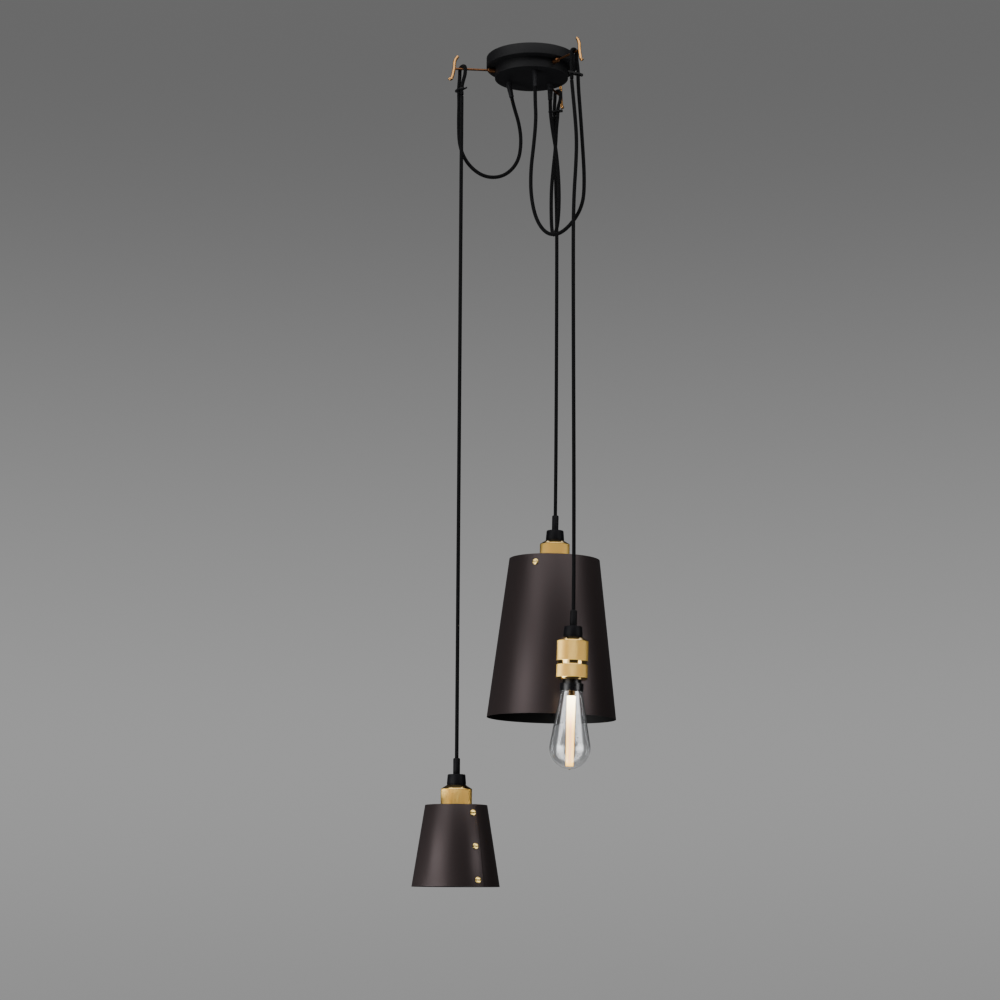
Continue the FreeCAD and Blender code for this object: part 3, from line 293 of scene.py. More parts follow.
# The slight bends near the top of a hanging cord
DROP_POINTS = {
    "left": [],
    "right": [
        (66.8, -97.5, -94), (70.6, -97.5, -136), (73.2, -97.5, -176), (71.9, -97.5, -218),
        (68.4, -97.5, -272), (67.1, -97.5, -350),
    ],
    "back": [
        (41.6, 108.3, -92), (43.2, 108.4, -124), (43.6, 108.5, -180), (45.2, 108.6, -232),
        (45.9, 108.7, -310),
    ],
}
# How far each slack cord runs on straight out of its gland
LEAD_RUNS = {"left": 15, "right": 24, "back": 20}
# Each gland's azimuth on the rose and the lean of its nose, in degrees
GLANDS = {"left": (158, 12), "right": (278, 0), "back": (38, 0)}
# The glands' distance from the rose's centre, where their noses start below the ceiling, and the noses' length
GLAND_CIRCLE = 41
GLAND_ROOT = 41
GLAND_NOSE = 23
# Each arm's azimuth on the rose, in degrees
ARM_ANGLES = {"left": 186.2, "right": 306.2, "back": 66.2}
# Bends of each crossbar: how far beyond its arm and how high above it
BAR_BENDS = ((-6, 22), (0, 15), (0, 0), (5, -22), (8.5, -17))
# Each cable tie's depth below the ceiling
TIE_DROPS = {"left": 60, "right": 61, "back": 56.5}
# Plan position of each slack cord's strand where its tie holds it
SWAG_STRANDS = {"left": (-122.4, -9.8), "right": (75.8, -91.2), "back": (47.15, 105.55)}

# Each shade in millimetres and degrees: its rim above the plate, top and bottom radius, height, azimuth and
# width of its lap, the winding angle where the sheet starts to rise over its own start, the depths of the lap's
# three screws, and the azimuths and depth of the plate's screws
SHADES = {
    "left": {"name": "small", "rise": 7, "top": 49.5, "bottom": 70, "height": 128.6, "lap": 301, "lap_width": 20,
             "lift_from": 200, "lap_drops": (13.6, 66.1, 118.6), "plate": (61, 151), "plate_drop": 13.6},
    "back": {"name": "large", "rise": 6.4, "top": 75.8, "bottom": 107.4, "height": 265.8, "lap": 90, "lap_width": 13,
             "lift_from": 310, "lap_drops": (36, 132.75, 251.8), "plate": (245, 20, 132), "plate_drop": 13.7},
}
# The winding angle at which the sheet laps its own start, and how far it has risen there in thicknesses
LAP_START = 355
LAP_CLEARANCE = 1.02
# Faces up to this far beside a screw's slot still count as its walls
SLOT_EDGE = 0.05 * MM
# Radius of a bulb's ball and its centre below the collar, for the sides that carry that bulb
BALLS = {("left",): (22.5, 18), ("right", "back"): (32.4, 89.5)}
# The glass's sealed tip in millimetres: radius, and depth below the ball
PIP = ((3.2, -0.16), (2.2, 0), (1.2, 0.8), (0, 1.6))
# The ball on which a gland's nose leans, in millimetres: radius, and height above the nose
GLAND_BALL = ((0, 4.5), (2.5, 4.2), (4.3, 2.5))
GLAND_RIBS = 6
BASE_GROOVES = 3
# Small steps of turned forms in millimetres: how far each corner lies outside the form's radius and above the
# height where the steps start
RIB_GROOVE = ((0, 0), (-0.5, -0.4), (-0.55, -1.2), (-0.1, -1.6))
COLLAR_BACK = ((-0.6, 0), (0, 0.8))
COLLAR_FRONT = ((0, -1.5), (-1.4, 0))
SLEEVE_TOP = ((-1.6, 0), (-0.5, -0.5), (0, -1.6))
CUP_GROOVE = ((-0.1, 0), (-0.7, -0.3), (-0.7, -0.9), (0, -1.2))
BARREL_EDGE = ((0, 0.2), (0.1, 0))
BASE_GROOVE = ((0, 0), (-0.5, -0.4), (-0.5, -0.7), (0, -1.1))
# The surround's soft steps. Each follows how steeply a ray climbs, or by how many radians it turns aside from the
# camera's way, and goes from 0 to 1, or from one value to the other, between two such measures
FADES = {
    "foot_to_low": ("climb", {"From Min": -0.06, "From Max": 0.1}),
    "low_to_high": ("climb", {"From Min": 0.0, "From Max": 0.36}),
    "panel_start": ("aside", {"From Min": 0.45, "From Max": 0.8}),
    "panel_end": ("aside", {"From Min": 1.2, "From Max": 1.6, "To Min": 1.0, "To Max": 0.0}),
    "panel_light": ("climb", {"From Min": 0.1, "From Max": 0.4, "To Min": 10.5, "To Max": 1.5}),
    "glass_grey": ("climb", {"From Min": -0.1, "From Max": 0.2, "To Min": 0.41, "To Max": 0.03}),
}
# Each softbox: its azimuth from the camera's side, distance, height, the height it faces, width and tallness in
# metres, and its brightness. The side boxes, the upper boxes over them and the fill draw the highlights down barrels,
# shades and bulbs. The overhead and low boxes fill the knurling's facets. The strips behind and at the floor pick out
# the barrels' polished chamfers, and the back box lightens the shadows
SOFTBOXES = {
    "left_softbox": (-58, 2.3, -0.93, -0.93, 1.41, 0.8, 3.8),
    "left_upper_softbox": (-58, 2.3, 0.05, -1.0, 1.5, 1.15, 0.8),
    "left_fill": (-32, 2.3, -0.4, -0.4, 0.75, 1.9, 1.1),
    "right_softbox": (59, 2.3, -0.93, -0.93, 1.05, 0.8, 3.8),
    "right_upper_softbox": (59, 2.3, 0.05, -1.0, 1.1, 1.15, 0.5),
    "overhead_softbox": (0, 1.1, 1.0, -1.1, 4.8, 2.0, 1.9),
    "low_softbox": (-60, 1.05, -1.92, -1.1, 1.3, 0.8, 5.5),
    "left_strip": (-167, 2.4, 1.8, -1.05, 0.7, 1.2, 1.0),
    "right_strip": (163, 2.4, 1.8, -1.05, 0.7, 1.2, 0.8),
    "left_floor_strip": (-98, 0.72, -2.2, -1.1, 0.5, 0.4, 0.4),
    "right_floor_strip": (98, 0.72, -2.2, -1.1, 0.5, 0.4, 0.9),
    "back_softbox": (180, 2.3, -1.6, -1.2, 2.2, 1.4, 1.6),
}


# Modelling helpers


def settings():
    return bpy.context.scene.pendant_light


def nothing_selected():
    if bpy.context.object and bpy.context.object.mode != "OBJECT":
        bpy.ops.object.mode_set(mode="OBJECT")
    bpy.ops.object.select_all(action="DESELECT")


def pick(piece):
    nothing_selected()
    piece.select_set(True)
    bpy.context.view_layer.objects.active = piece


def edit(piece):
    pick(piece)
    bpy.ops.object.mode_set(mode="EDIT")
    bpy.ops.mesh.select_mode(type="VERT")
    return bmesh.from_edit_mesh(piece.data)


def finish_edit():
    """Welds what lies together, turns every normal outwards and leaves edit mode."""
    bpy.ops.mesh.select_all(action="SELECT")
    bpy.ops.mesh.remove_doubles(threshold=WELD)
    bpy.ops.mesh.normals_make_consistent(inside=False)
    bpy.ops.object.mode_set(mode="OBJECT")


def stepped(radius, height, steps):
    """Corners of small steps in a profile."""
    return [(radius + out * MM, height + up * MM) for out, up in steps]


def turned(name, corners, sides=96):
    """A circle extruded, moved and scaled from corner to corner of a profile, given as radius and height."""
    nothing_selected()
    radius, height = corners[0]
    radius = max(radius, POLE)
    bpy.ops.mesh.primitive_circle_add(vertices=sides, radius=radius, location=(0, 0, height))
    piece = bpy.context.object
    piece.name = piece.data.name = name
    bpy.ops.object.transform_apply(location=True)
    bpy.ops.object.mode_set(mode="EDIT")
    bpy.ops.mesh.select_all(action="SELECT")
    for next_radius, next_height in corners[1:]:
        next_radius = max(next_radius, POLE)
        share = next_radius / radius
        bpy.ops.mesh.extrude_edges_move(TRANSFORM_OT_translate={"value": (0, 0, next_height - height)})
        bpy.ops.transform.resize(value=(share, share, 1), center_override=(0, 0, next_height))
        radius, height = next_radius, next_height
    bpy.ops.mesh.select_all(action="SELECT")
    bpy.ops.mesh.remove_doubles(threshold=WELD)
    bpy.ops.mesh.select_all(action="DESELECT")
    bpy.ops.mesh.select_non_manifold()
    if any(vertex.select for vertex in bmesh.from_edit_mesh(piece.data).verts):
        bpy.ops.mesh.bridge_edge_loops()
    finish_edit()
    return piece


def modified(piece, kind, **values):
    """Adds a modifier to a piece, sets its values and applies it."""
    pick(piece)
    bpy.ops.object.modifier_add(type=kind)
    modifier = piece.modifiers[-1]
    for key, value in values.items():
        setattr(modifier, key, value)
    bpy.ops.object.modifier_apply(modifier=modifier.name)
    return piece


def soften(piece, width, segments=3, angle=35):
    """Rounds the sharp edges of a piece with a bevel."""
    return modified(piece, "BEVEL", width=width, segments=segments, limit_method="ANGLE",
                    angle_limit=math.radians(angle), harden_normals=False)


def smooth(piece, angle=30):
    pick(piece)
    bpy.ops.object.shade_smooth_by_angle(angle=math.radians(angle))
    return piece


def joined(name, pieces):
    """Several meshes as one piece."""
    pick(pieces[0])
    for piece in pieces:
        piece.select_set(True)
    bpy.ops.object.join()
    pieces[0].name = pieces[0].data.name = name
    return pieces[0]


def put(piece, place):
    """Moves a piece's mesh by a matrix into its place, so that its object stays at the origin."""
    piece.matrix_world = place
    pick(piece)
    bpy.ops.object.transform_apply(location=True, rotation=True, scale=True)
    return piece


def pendant_place(side):
    """The matrix of a pendant: its origin at the sleeve's top and its Z up its own axis."""
    joint = JOINTS[side + "_lamp_twist"]
    up = -Vector(joint["axis"])
    lean = math.atan2(up.x, up.z)
    return Matrix.Translation(Vector(joint["pos_m"])) @ Matrix.Rotation(lean, 4, "Y")


def duplicates(piece, count):
    """A piece and as many copies of it as make up the count."""
    pieces = [piece]
    while len(pieces) < count:
        pick(piece)
        bpy.ops.object.duplicate()
        pieces.append(bpy.context.object)
    return pieces


def on_each_side(name, piece, sides=SIDES, lowered=()):
    """Copies of a piece of one pendant, each named for its side, put in place and given with that side."""
    drops = dict(lowered)
    pairs = list(zip(sides, duplicates(piece, len(sides))))
    for side, copy in pairs:
        copy.name = copy.data.name = name + side
        put(copy, pendant_place(side) @ Matrix.Translation((0, 0, -drops.get(side, 0))))
    return pairs


def cut_away(piece, cutter):
    """Takes the cutter out of a piece and deletes the cutter."""
    modified(piece, "BOOLEAN", operation="DIFFERENCE", solver="EXACT", object=cutter)
    pick(cutter)
    bpy.ops.object.delete()
    return piece


def ride_as(piece, body, stands_for=()):
    """Names the body that a finished piece rides on and the nodes that it replaces."""
    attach(piece, body)
    if stands_for:
        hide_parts(*stands_for)
    return piece


def dress(piece, material, body, stands_for=()):
    """Gives a finished piece of one material that material, and then its body and nodes."""
    piece.data.materials.clear()
    piece.data.materials.append(material)
    return ride_as(piece, body, stands_for)


def finish_node(name, material):
    """Gives a CAD node that stays as it is its material."""
    mesh = frame["nodes"][name].data
    mesh.materials.clear()
    mesh.materials.append(material)


# Materials


def new_material(name):
    material = bpy.data.materials.new(name)
    material.use_nodes = True
    return material, material.node_tree, material.node_tree.nodes["Principled BSDF"]


def node(tree, kind, values=(), **links):
    """Adds a node, sets its inputs or its own settings and links other sockets to its inputs."""
    made = tree.nodes.new(kind)
    for key, value in dict(values).items():
        if isinstance(key, int) or key in made.inputs:
            made.inputs[key].default_value = value
        else:
            setattr(made, key, value)
    for key, socket in links.items():
        # i0 is the first input, for sockets that share a name
        numbered = key[0] == "i" and key[1:].isdigit()
        tree.links.new(socket, made.inputs[int(key[1:]) if numbered else key])
    return made


def grained(name, base, light, roughness, grain, depth, constants, share=0.25, drawn=(1, 1, 1)):
    """Fine grain of a real size in a surface's colour, gloss and relief; drawn below 1 stretches it along an axis.

    The constants are those of the shader's other sockets.
    """
    material, tree, shader = new_material(name)
    place = node(tree, "ShaderNodeTexCoord").outputs["Object"]
    stretched = node(tree, "ShaderNodeMapping", {"Scale": drawn}, Vector=place)
    noise = node(tree, "ShaderNodeTexNoise", {"Scale": 1 / grain, "Detail": 3.0}, Vector=stretched.outputs[0])
    tint = node(tree, "ShaderNodeMix", {"data_type": "RGBA", 6: (*base, 1), 7: (*light, 1)}, i0=noise.outputs["Fac"])
    tree.links.new(tint.outputs[2], shader.inputs["Base Color"])
    rough = node(tree, "ShaderNodeMapRange", {"To Min": roughness * (1 - share), "To Max": roughness * (1 + share)},
                 Value=noise.outputs["Fac"])
    tree.links.new(rough.outputs["Result"], shader.inputs["Roughness"])
    bump = node(tree, "ShaderNodeBump", {"Distance": depth, "Strength": 0.6}, Height=noise.outputs["Fac"])
    tree.links.new(bump.outputs["Normal"], shader.inputs["Normal"])
    for key, value in constants.items():
        shader.inputs[key].default_value = value
    return material


def shaded(base, factor):
    return tuple(min(1, part * factor) for part in base)


def powder_coat(name, base):
    """Textured polyester powder coat on steel: matt, with an orange peel about half a millimetre across."""
    return grained(name, base, shaded(base, 1.5), 0.6, 0.6 * MM, 0.05 * MM, {"Specular IOR Level": 0.2})


def moulded_black(name, base, roughness):
    """Injection-moulded nylon or rubber: the faint grain of a spark-eroded mould."""
    return grained(name, base, shaded(base, 1.4), roughness, 0.8 * MM, 0.02 * MM, {"Specular IOR Level": 0.12})


def turned_brass(name, base, roughness, grain, drawn=(1, 1, 1)):
    """Brass bar turned on a lathe: a warm metal whose tool marks break its gloss a little."""
    return grained(name, base, shaded(base, 1.12), roughness, grain, 0.01 * MM, {"Metallic": 1}, 0.2, drawn)


def pressed_steel(name, base, roughness, grain):
    """Sheet or screw steel, zinc-plated, nickel-plated or blackened: a cooler metal with a cloudy gloss."""
    return grained(name, base, shaded(base, 1.15), roughness, grain, 0.01 * MM, {"Metallic": 1}, 0.2)


def polished_phenolic(name, base):
    """Compression-moulded phenolic, buffed: deep black with a soft gloss over a slow ripple of a few millimetres."""
    return grained(name, base, shaded(base, 1.3), 0.28, 5 * MM, 0.02 * MM, {}, 0.1)


def satin_lacquer(name, base):
    """Bronze-tinted satin lacquer on rolled steel sheet: a soft brownish shine with a very fine orange peel."""
    return grained(name, base, shaded(base, 1.2), 0.37, 0.7 * MM, 0.012 * MM,
                   {"Specular IOR Level": 0.4, "Specular Tint": (*linear("#ffe8e9"), 1)})


def clear_solid(name, code, roughness, index, grain, drawn=(1, 1, 1)):
    """Clear glass or acrylic of a refractive index, with a slow ripple or drawn marks in its reflections."""
    material, tree, shader = new_material(name)
    place = node(tree, "ShaderNodeTexCoord").outputs["Object"]
    stretched = node(tree, "ShaderNodeMapping", {"Scale": drawn}, Vector=place)
    noise = node(tree, "ShaderNodeTexNoise", {"Scale": 1 / grain, "Detail": 1.0}, Vector=stretched.outputs[0])
    bump = node(tree, "ShaderNodeBump", {"Distance": 0.05 * MM, "Strength": 0.3}, Height=noise.outputs["Fac"])
    tree.links.new(bump.outputs["Normal"], shader.inputs["Normal"])
    shader.inputs["Base Color"].default_value = (*linear(code), 1)
    shader.inputs["Roughness"].default_value = roughness
    shader.inputs["IOR"].default_value = index
    shader.inputs["Transmission Weight"].default_value = 1.0
    return material


def glowing_core(name):
    """Light that the rod carries: white-hot at its source, creamy with pinkish streaks below, yellow at the end."""
    bulb = settings().bulb
    material, tree, shader = new_material(name)
    down = node(tree, "ShaderNodeAttribute", {"attribute_name": "down"}).outputs["Fac"]
    around = node(tree, "ShaderNodeAttribute", {"attribute_name": "around"}).outputs["Fac"]
    streak = node(tree, "ShaderNodeMix", {"data_type": "RGBA", 6: (*bulb.glow_middle, 1), 7: (*bulb.glow_streak, 1)},
                  i0=around)
    upper = node(tree, "ShaderNodeMapRange", {"From Min": 0.05, "From Max": 0.45}, Value=down)
    body = node(tree, "ShaderNodeMix", {"data_type": "RGBA", 6: (*bulb.glow_top, 1)}, i0=upper.outputs["Result"],
                i7=streak.outputs[2])
    lower = node(tree, "ShaderNodeMapRange", {"From Min": 0.9, "From Max": 1.0}, Value=down)
    whole = node(tree, "ShaderNodeMix", {"data_type": "RGBA", 7: (*bulb.glow_end, 1)}, i0=lower.outputs["Result"],
                 i6=body.outputs[2])
    tree.links.new(whole.outputs[2], shader.inputs["Base Color"])
    tree.links.new(whole.outputs[2], shader.inputs["Emission Color"])
    fading = node(tree, "ShaderNodeMapRange", {"From Max": 0.5, "To Min": 12.0, "To Max": 3.6}, Value=down)
    tree.links.new(fading.outputs["Result"], shader.inputs["Emission Strength"])
    shader.inputs["Roughness"].default_value = 0.4
    return material


def woven(name, base, light, length, radius, strand):
    """Braided polyester cover: two sets of matt strands cross in diamonds, scaled from the strand's width, with a
    painted highlight on their crests.

    The real strands are finer and wouldn't show, so they are drawn coarser. The cover reads as a dull black rope.
    """
    material, tree, shader = new_material(name)
    split = node(tree, "ShaderNodeSeparateXYZ", Vector=node(tree, "ShaderNodeTexCoord").outputs["UV"])
    around = round(math.pi * radius / strand)
    along = length / (2 * strand)
    crossing = []
    for turn in (1, -1):
        first = node(tree, "ShaderNodeMath", {"operation": "MULTIPLY", 1: 2 * math.pi * along}, i0=split.outputs["X"])
        second = node(tree, "ShaderNodeMath", {"operation": "MULTIPLY", 1: 2 * math.pi * turn * around},
                      i0=split.outputs["Y"])
        total = node(tree, "ShaderNodeMath", {"operation": "ADD"}, i0=first.outputs[0], i1=second.outputs[0])
        crossing.append(node(tree, "ShaderNodeMath", {"operation": "SINE"}, i0=total.outputs[0]).outputs[0])
    weave = node(tree, "ShaderNodeMath", {"operation": "MULTIPLY"}, i0=crossing[0], i1=crossing[1])
    height = node(tree, "ShaderNodeMapRange", {"From Min": -1.0, "From Max": 1.0}, Value=weave.outputs[0])
    # The weave's crests take the lighter colour and its hollows the darker one: a painted highlight and painted shade
    # over the strands' own black
    tint = node(tree, "ShaderNodeMix", {"data_type": "RGBA", 6: (*base, 1), 7: (*light, 1)},
                i0=height.outputs["Result"])
    tree.links.new(tint.outputs[2], shader.inputs["Base Color"])
    bump = node(tree, "ShaderNodeBump", {"Distance": 0.3 * MM, "Strength": 0.5}, Height=height.outputs["Result"])
    tree.links.new(bump.outputs["Normal"], shader.inputs["Normal"])
    shader.inputs["Roughness"].default_value = 0.85
    shader.inputs["Specular IOR Level"].default_value = 0.05
    shader.inputs["Sheen Weight"].default_value = 0.02
    shader.inputs["Sheen Roughness"].default_value = 0.5
    return material


def frayed_end(name, base, light, strand):
    """The same polyester yarn where it is gathered over the cord's end: a matt grain as wide as a strand."""
    return grained(name, base, light, 0.85, strand, 0.1 * MM, {"Specular IOR Level": 0.05}, 0.1)


# Stage


class PENDANT_OT_stage(bpy.types.Operator):
    """Adds the floor, the soft lights, the surround and the camera"""

    bl_idname = "pendant.stage"
    bl_label = "Studio"

    def execute(self, context):
        studio = settings().studio
        nothing_selected()
        bpy.ops.mesh.primitive_plane_add(size=studio.floor_width, location=(0, 0, -studio.floor_drop))
        floor = bpy.context.object
        floor.name = "studio_floor"
        # Painted concrete: pale and matt, with a trowelled grain a few millimetres across
        floor.data.materials.append(grained("painted_floor", studio.floor_colour, shaded(studio.floor_colour, 0.97),
                                            0.7, 4 * MM, 0.05 * MM, {}))
        # The floor is seen, but throws no light up at the rose
        floor.visible_diffuse = False
        floor.visible_glossy = False
        context.scene.world = self.air(studio)
        for name, box in SOFTBOXES.items():
            self.softbox(name, *box)
        # The lamp behind fills the shadows and is not mirrored along the edges of the pieces
        bpy.data.objects["back_softbox"].visible_glossy = False
        eye = Vector((studio.eye_x, studio.eye_y, studio.eye_z))
        bpy.ops.object.camera_add(location=eye)
        camera = bpy.context.object
        camera.name = "photo_camera"
        upright = Matrix.Rotation(math.pi / 2 + studio.tilt, 4, "X") @ Matrix.Rotation(studio.roll, 4, "Z")
        camera.matrix_world = Matrix.Translation(eye) @ upright
        camera.data.lens = studio.lens
        camera.data.sensor_width = SENSOR_WIDTH
        context.scene.camera = camera
        return {"FINISHED"}

    def air(self, studio):
        """Plain grey seen directly or through a bulb, a dim room for what the pieces mirror, and tall panels.

        A ray through a bulb crosses at least three faces of glass. One that only grazes a wall crosses two and sees
        what the glass mirrors, which gives it its outline. Only the bulbs' perfectly sharp glass sees the panels.
        """
        world = bpy.data.worlds.new("studio_air")
        world.use_nodes = True
        tree = world.node_tree
        seen = tree.nodes["Background"]
        towards = node(tree, "ShaderNodeSeparateXYZ", Vector=node(tree, "ShaderNodeTexCoord").outputs["Generated"])
        behind = node(tree, "ShaderNodeMath", {"operation": "MULTIPLY", 1: -1.0}, i0=towards.outputs["Y"])
        around = node(tree, "ShaderNodeMath", {"operation": "ARCTAN2"}, i0=towards.outputs["X"], i1=behind.outputs[0])
        aside = node(tree, "ShaderNodeMath", {"operation": "ABSOLUTE"}, i0=around.outputs[0])
        measures = {"climb": towards.outputs["Z"], "aside": aside.outputs[0]}
        fades = {name: node(tree, "ShaderNodeMapRange", {"interpolation_type": "SMOOTHSTEP", **span},
                            Value=measures[measure]).outputs["Result"] for name, (measure, span) in FADES.items()}
        low = node(tree, "ShaderNodeMix", {"data_type": "RGBA", 6: (*studio.foot_air, 1), 7: (*studio.low_air, 1)},
                   i0=fades["foot_to_low"])
        grey = node(tree, "ShaderNodeMix", {"data_type": "RGBA", 7: (*studio.high_air, 1)}, i0=fades["low_to_high"],
                    i6=low.outputs[2])
        tree.links.new(grey.outputs[2], seen.inputs["Color"])
        dim = node(tree, "ShaderNodeBackground", {"Color": (*studio.dim_air, 1)})
        path = node(tree, "ShaderNodeLightPath").outputs
        through = node(tree, "ShaderNodeMath", {"operation": "GREATER_THAN", 1: 2.5}, i0=path["Transmission Depth"])
        clear = node(tree, "ShaderNodeMath", {"operation": "MULTIPLY"}, i0=through.outputs[0],
                     i1=path["Is Transmission Ray"])
        straight = node(tree, "ShaderNodeMath", {"operation": "MAXIMUM"}, i0=path["Is Camera Ray"],
                        i1=clear.outputs[0])
        room = node(tree, "ShaderNodeMixShader", i0=straight.outputs[0], i1=dim.outputs[0], i2=seen.outputs[0])
        wide = node(tree, "ShaderNodeMath", {"operation": "MULTIPLY"}, i0=fades["panel_start"], i1=fades["panel_end"])
        panel = node(tree, "ShaderNodeMath", {"operation": "MULTIPLY"}, i0=wide.outputs[0], i1=fades["panel_light"])
        bright = node(tree, "ShaderNodeMath", {"operation": "ADD"}, i0=panel.outputs[0], i1=fades["glass_grey"])
        panels = node(tree, "ShaderNodeBackground", {"Color": (1, 1, 1, 1)}, Strength=bright.outputs[0])
        mirrored = node(tree, "ShaderNodeMath", {"operation": "MULTIPLY"}, i0=path["Is Singular Ray"],
                        i1=path["Is Glossy Ray"])
        whole = node(tree, "ShaderNodeMixShader", i0=mirrored.outputs[0], i1=room.outputs[0], i2=panels.outputs[0])
        tree.links.new(whole.outputs[0], tree.nodes["World Output"].inputs["Surface"])
        return world

    def softbox(self, name, azimuth, distance, height, aim, width, tall, brightness):
        """A large soft lamp that faces the pendants. Its power is four times its area at brightness 1."""
        angle = math.radians(azimuth)
        place = Vector((math.sin(angle) * distance, -math.cos(angle) * distance, height))
        bpy.ops.object.light_add(type="AREA", location=place)
        lamp = bpy.context.object
        lamp.name = name
        lamp.rotation_euler = (Vector((0, 0, aim)) - place).to_track_quat("-Z", "Y").to_euler()
        lamp.data.shape = "RECTANGLE"
        lamp.data.size = width
        lamp.data.size_y = tall
        lamp.data.energy = 4 * width * tall * brightness
        lamp.visible_camera = False
        lamp.visible_transmission = False


# Cords


def gland_tip(side):
    """The end of a gland and the way its cord leaves, in millimetres."""
    angle, lean = (math.radians(value) for value in GLANDS[side])
    away = Vector((math.sin(lean), 0, -math.cos(lean)))
    root = Vector((math.cos(angle) * GLAND_CIRCLE, math.sin(angle) * GLAND_CIRCLE, -GLAND_ROOT))
    return root + away * GLAND_NOSE, away


def swing_strand(side):
    """Plan position of the hanging strand at the swing, in millimetres."""
    place = JOINTS[side + "_swing_out"]["pos_m"]
    return place[0] / MM, place[1] / MM


def nurbs_tube(name, route, radius, roundness):
    """A round NURBS tube whose control points are the route's points, and its length."""
    data = bpy.data.curves.new(name, "CURVE")
    data.dimensions = "3D"
    data.resolution_u = 10
    data.bevel_depth = radius
    data.bevel_resolution = roundness
    data.use_fill_caps = True
    spline = data.splines.new("NURBS")
    spline.points.add(len(route) - 1)
    for point, spot in zip(spline.points, route):
        point.co = (*spot, 1)
    spline.order_u = 3
    spline.use_endpoint_u = True
    piece = bpy.data.objects.new(name, data)
    bpy.context.scene.collection.objects.link(piece)
    return piece, spline.calc_length()


class PENDANT_OT_cords(bpy.types.Operator):
    """Adds each cord: slack from its gland over its hook, a short neck and the hanging length"""

    bl_idname = "pendant.cords"
    bl_label = "Cords"

    def execute(self, context):
        cord = settings().cord
        swing = -cord.swing_drop / MM
        reach = (cord.radius + cord.gap) / MM
        neck = cord.neck_length / MM
        for side in SIDES:
            x, y = swing_strand(side)
            tip, away = gland_tip(side)
            slack = [tip, tip + away * LEAD_RUNS[side]] + SWAG_POINTS[side] + [(x, y, swing + reach)]
            self.cord("slack", side, slack, "rose", "cord_swag_")
            place = pendant_place(side)
            hanging = [(x, y, swing - neck)] + DROP_POINTS[side]
            hanging += [place @ Vector((0, 0, cord.lead)) / MM, place @ Vector((0, 0, -cord.stop_depth)) / MM]
            self.cord("hanging", side, hanging, side + "_drop", "cord_drop_")
        self.necks(swing, neck, reach)
        return {"FINISHED"}

    def cord(self, part, side, points, body, stands_for):
        """One free length of cord in its woven cover, its weave scaled to its real length."""
        cord = settings().cord
        route = [Vector(point) * MM for point in points]
        piece, length = nurbs_tube("%s_cord_%s" % (part, side), route, cord.radius, 5)
        piece.data.materials.append(woven("textile_%s_%s" % (part, side), cord.weave_colour, cord.weave_light,
                                          length, cord.radius, cord.carrier_width))
        ride_as(piece, body, (stands_for + side,))

    def necks(self, swing, neck, reach):
        """The short cords between the swing axes and the rounded tops of the hanging lengths."""
        cord = settings().cord
        # Gathered polyester yarn: as dull and black as the cover, but without its diamonds
        cover = frayed_end("textile_dome", cord.weave_colour, cord.weave_light, cord.carrier_width)
        dome = [(cord.radius * math.sin(math.radians(step)), cord.radius * math.cos(math.radians(step)))
                for step in range(0, 91, 15)]
        for name, body, top, end, stands_for in (
                ("cord_neck_dome_", "_neck", swing, swing - neck + reach, "cord_neck_"),
                ("cord_drop_dome_", "_drop", swing - neck, swing - neck - cord.dome_foot / MM, None)):
            corners = [(radius, top * MM + height) for radius, height in dome]
            corners += [(cord.radius, end * MM), (0, end * MM)]
            for side, piece in zip(SIDES, duplicates(smooth(turned("dome", corners, 24)), len(SIDES))):
                piece.name = piece.data.name = name + side
                x, y = swing_strand(side)
                put(piece, Matrix.Translation((x * MM, y * MM, 0)))
                dress(piece, cover, side + body, (stands_for + side,) if stands_for else ())


# Ties


class PENDANT_OT_ties(bpy.types.Operator):
    """Adds the cable tie round the two strands of each loop, with its head and clipped tail"""

    bl_idname = "pendant.ties"
    bl_label = "Cable ties"

    def execute(self, context):
        # Moulded nylon: dull black, a little glossier than the cords, so the straps just stand out
        nylon = moulded_black("tie_nylon", linear("#151516"), 0.45)
        ties = []
        for side in SIDES:
            first = Vector((*swing_strand(side), 0))
            across = Vector((*SWAG_STRANDS[side], 0)) - first
            lean = Matrix.Rotation(math.atan2(across.y, across.x), 4, "Z")
            place = Matrix.Translation(Vector((first.x, first.y, -TIE_DROPS[side])) * MM) @ lean
            ties.append(put(self.strap(across.length * MM), place))
        dress(smooth(joined("cable_tie_straps", ties), 40), nylon, "rose", ("cable_ties",))
        return {"FINISHED"}

    def strap(self, gap):
        """A band round two strands, drawn as a ring of quads and thickened, with head and tail."""
        cord = settings().cord
        inner, thick, tall = cord.radius + cord.tie_gap, cord.tie_thickness, cord.tie_height
        nothing_selected()
        bpy.ops.mesh.primitive_circle_add(vertices=48, radius=inner + thick / 2)
        band = bpy.context.object
        mesh = edit(band)
        for vertex in mesh.verts:
            vertex.select = vertex.co.x > POLE
        bpy.ops.transform.translate(value=(gap, 0, 0))
        bpy.ops.mesh.select_all(action="SELECT")
        bpy.ops.transform.translate(value=(0, 0, -tall / 2))
        bpy.ops.mesh.extrude_edges_move(TRANSFORM_OT_translate={"value": (0, 0, tall)})
        bpy.ops.object.mode_set(mode="OBJECT")
        modified(band, "SOLIDIFY", thickness=thick, offset=0)
        head_middle = gap + inner + (cord.tie_head + thick) / 2
        head = self.brick((head_middle, 0, 0), (cord.tie_head, cord.tie_head_width, cord.tie_head_height),
                          cord.tie_head_edge)
        start = -inner - thick - cord.tie_head
        end = gap + inner + thick
        tail = self.brick(((start + end) / 2, -inner - thick / 2, 0), (end - start, thick, tall), cord.tie_edge)
        return joined("strap", [band, head, tail])

    def brick(self, middle, sides, edge):
        """A block with rounded edges."""
        nothing_selected()
        bpy.ops.mesh.primitive_cube_add(size=1, location=middle)
        block = bpy.context.object
        block.scale = sides
        bpy.ops.object.transform_apply(location=True, rotation=True, scale=True)
        return soften(block, edge, 2)


# Rose and hooks


